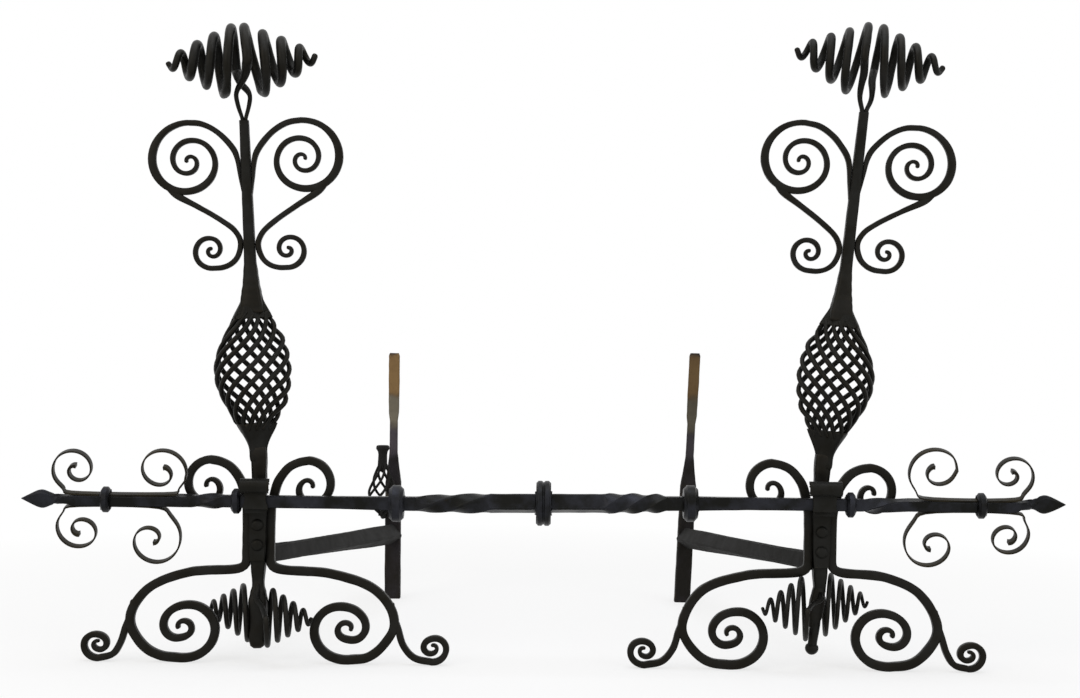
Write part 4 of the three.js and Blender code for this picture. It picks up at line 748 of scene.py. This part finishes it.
for side in SIDES:
    forge([f"{side}_crossbar_hook"], f"{side}_bent_hook", f"{side}_andiron", black_scale,
          arris=HOOK_ARRIS, reshape=partial(tapered_lip, side))
    forge([f"{side}_hook_rivet_upper", f"{side}_hook_rivet_lower"], f"{side}_hammered_rivets",
          f"{side}_andiron", black_scale)


# ---------------------------------------------------------------- bottom coils and drops
# The post's lower end is split in three: two prongs wound into small conical coils, and a
# middle one drawn down to a blunt round end on the left, and to a neck and a ball on the right.

WIRE_SWELL = {"left": 1, "right": 0.55}
WIRE_DENT = 0.15
LEFT_DROP = ((110, 7.2), (101, 7.8), (92, 10), (80, 12), (62, 11.8), (44, 11.4), (30, 10.6),
             (23, 9))
RIGHT_ROOT = ((110, 7.2), (100, 8.4), (88, 9.6), (72, 9), (60, 6.6), (50, 3.6))
RIGHT_DROP_LEAN = 7.9
DROP_FLAT = 0.9
DROP_DENT = 0.5

for side in SIDES:
    for where in ("outer", "inner"):
        forge([f"{side}_bottom_coil_{where}"], f"{side}_wound_bottom_{where}",
              f"{side}_andiron", black_scale, dent=WIRE_DENT,
              swell=WIRE_SWELL[side])

bm = bmesh.new()
swelling_bar(bm, LEFT_DROP, DROP_FLAT)
stand(bm, "left", 0)
shown(bm, "left_rounded_drop", "left_andiron", black_scale, ["left_drop"],
      DROP_DENT)

forge(["right_drop"], "right_rounded_drop", "right_andiron", black_scale)
bm = bmesh.new()
swelling_bar(bm, RIGHT_ROOT, DROP_FLAT)
bmesh.ops.rotate(bm, verts=bm.verts, cent=(0, 0, RIGHT_ROOT[0][0]),
                 matrix=Matrix.Rotation(math.radians(RIGHT_DROP_LEAN), 3, "Y"))
stand(bm, "right", 0)
shown(bm, "right_fork_root", "right_andiron", black_scale, [], DROP_DENT)


# ---------------------------------------------------------------- billet bars and rear posts
# Heavy square bar that carries the logs, tenoned into a rear leg that is drawn up into a thin
# log stop. Years of fire have burnt both: tan and grey at the top, dark below.

BILLET_FLAT_MM = 90
BILLET_DENT = 0.3
REAR_DENT = 0.4

# Fire-burnt iron, its scale burnt away in bands: tan where it was hottest, then grey, violet
# grey and a pale patch at the billet. The right one has seen less fire.
# Under the bands lies a dark scale with patches of painted sheen.
fire_scale = {
    "left": forged_surface(
        "fire_burnt_iron_left", dark="#272421", painted_sheen="#363335", worn="#6b5440", roughness=0.7,
        bands=(("#7a7263", 165, 190, 0.5), ("#5b555a", 251, 296, 0.7),
               ("#7d7666", 296, 350, 0.8), ("#93774f", 350, 420, 0.8))),
    "right": forged_surface(
        "fire_burnt_iron_right", dark="#22201d", painted_sheen="#312e2f", worn="#5c4a38", roughness=0.7,
        bands=(("#6a6252", 165, 190, 0.4), ("#4c474b", 251, 296, 0.6),
               ("#666051", 296, 350, 0.7), ("#745d3e", 350, 420, 0.75))),
}
# Sooty burnt iron: a matt black with hardly a gleam and only faint patches of painted sheen, over
# long shallow flats.
billet_scale = forged_surface("burnt_billet_iron", dark="#12110f", painted_sheen="#181714",
                              worn="#30281e", roughness=0.84, flat_mm=BILLET_FLAT_MM,
                              metallic=0.5)


def on_floor(place, normal):
    """The rear foot, flat where it stands."""
    return Vector((place.x, place.y, max(place.z, 0)))


for side in SIDES:
    forge([f"{side}_billet_bar"], f"{side}_square_billet", f"{side}_andiron", billet_scale,
          arris=BAR_ARRIS, longest=RUN_LENGTH, dent=BILLET_DENT)
    forge([f"{side}_rear_post"], f"{side}_burnt_rear_post", f"{side}_andiron", fire_scale[side],
          arris=BAR_ARRIS, longest=RUN_LENGTH, dent=REAR_DENT, reshape=on_floor)

# A small openwork bud on a stem, made as the baskets are.
forge(["left_basket_bud"], "left_twisted_bud", "left_andiron", billet_scale)


# ---------------------------------------------------------------- crossbar
# One long square bar, twisted hot in four places and drawn to a spear point at each end, with
# seven collars shrunk on. It is handled at every cleaning, so its scale is rubbed.

CROSSBAR_ARRIS = 0.7
COLLAR_ARRIS = 0.6
LEAF_START = 618
LEAF_TURNED = 634
LEAF_DEPTH_SHARE = 0.6
LEAF_HEIGHT_SHARE = 1.12

# Rubbed black iron: smoother than the rest, with faint bluish patches of painted sheen.
rubbed_scale = forged_surface("rubbed_forged_iron", dark="#171715", painted_sheen="#2a2b30",
                              worn="#33291f", roughness=0.42)

leaf_middle = {}
for end in (-1, 1):
    leaf = [v.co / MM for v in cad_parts["crossbar_bar"].data.vertices
            if v.co.x * end > LEAF_TURNED * MM]
    leaf_middle[end] = sum(leaf, Vector()) / len(leaf)


def turned_leaf(place, normal):
    """Each spear point, turned and flattened so that its broad side faces the front."""
    middle = leaf_middle[1 if place.x > 0 else -1]
    turned = eased(LEAF_START, LEAF_TURNED, abs(place.x))
    if not turned:
        return place
    off = Matrix.Rotation(turned * math.pi / 2, 2) @ Vector((place.y - middle.y,
                                                             place.z - middle.z))
    return Vector((place.x, middle.y + off.x * blend(1, LEAF_DEPTH_SHARE, turned),
                   middle.z + off.y * blend(1, LEAF_HEIGHT_SHARE, turned)))


forge(["crossbar_bar"], "twisted_crossbar", "crossbar", rubbed_scale,
      arris=CROSSBAR_ARRIS, longest=RUN_LENGTH, reshape=turned_leaf)
for collar in ("centre_collar", "left_inner_collar", "right_inner_collar", "left_outer_collar",
               "right_outer_collar", "left_end_collar", "right_end_collar"):
    forge([collar], f"shrunk_{collar}", "crossbar", rubbed_scale,
          arris=COLLAR_ARRIS)


# ---------------------------------------------------------------- scroll strips
# Two thin strips at each end of the crossbar, one above it and one below. The end collar holds
# them at their middle, and they curl away from the bar at both ends.

STRIP_ARRIS = 0.5
STRIP_DENT = 0.15

# Thin black strip with an olive cast and patches of painted sheen, worn browner at its edges than
# the heavy bars are.
strip_scale = forged_surface("thin_strip_iron", dark="#22201a", painted_sheen="#332e21",
                             worn="#5a4a33", roughness=0.5)

for side in SIDES:
    for where in ("upper", "lower"):
        forge([f"{side}_strip_{where}"], f"{side}_curled_strip_{where}", "crossbar", strip_scale,
              arris=STRIP_ARRIS, dent=STRIP_DENT)
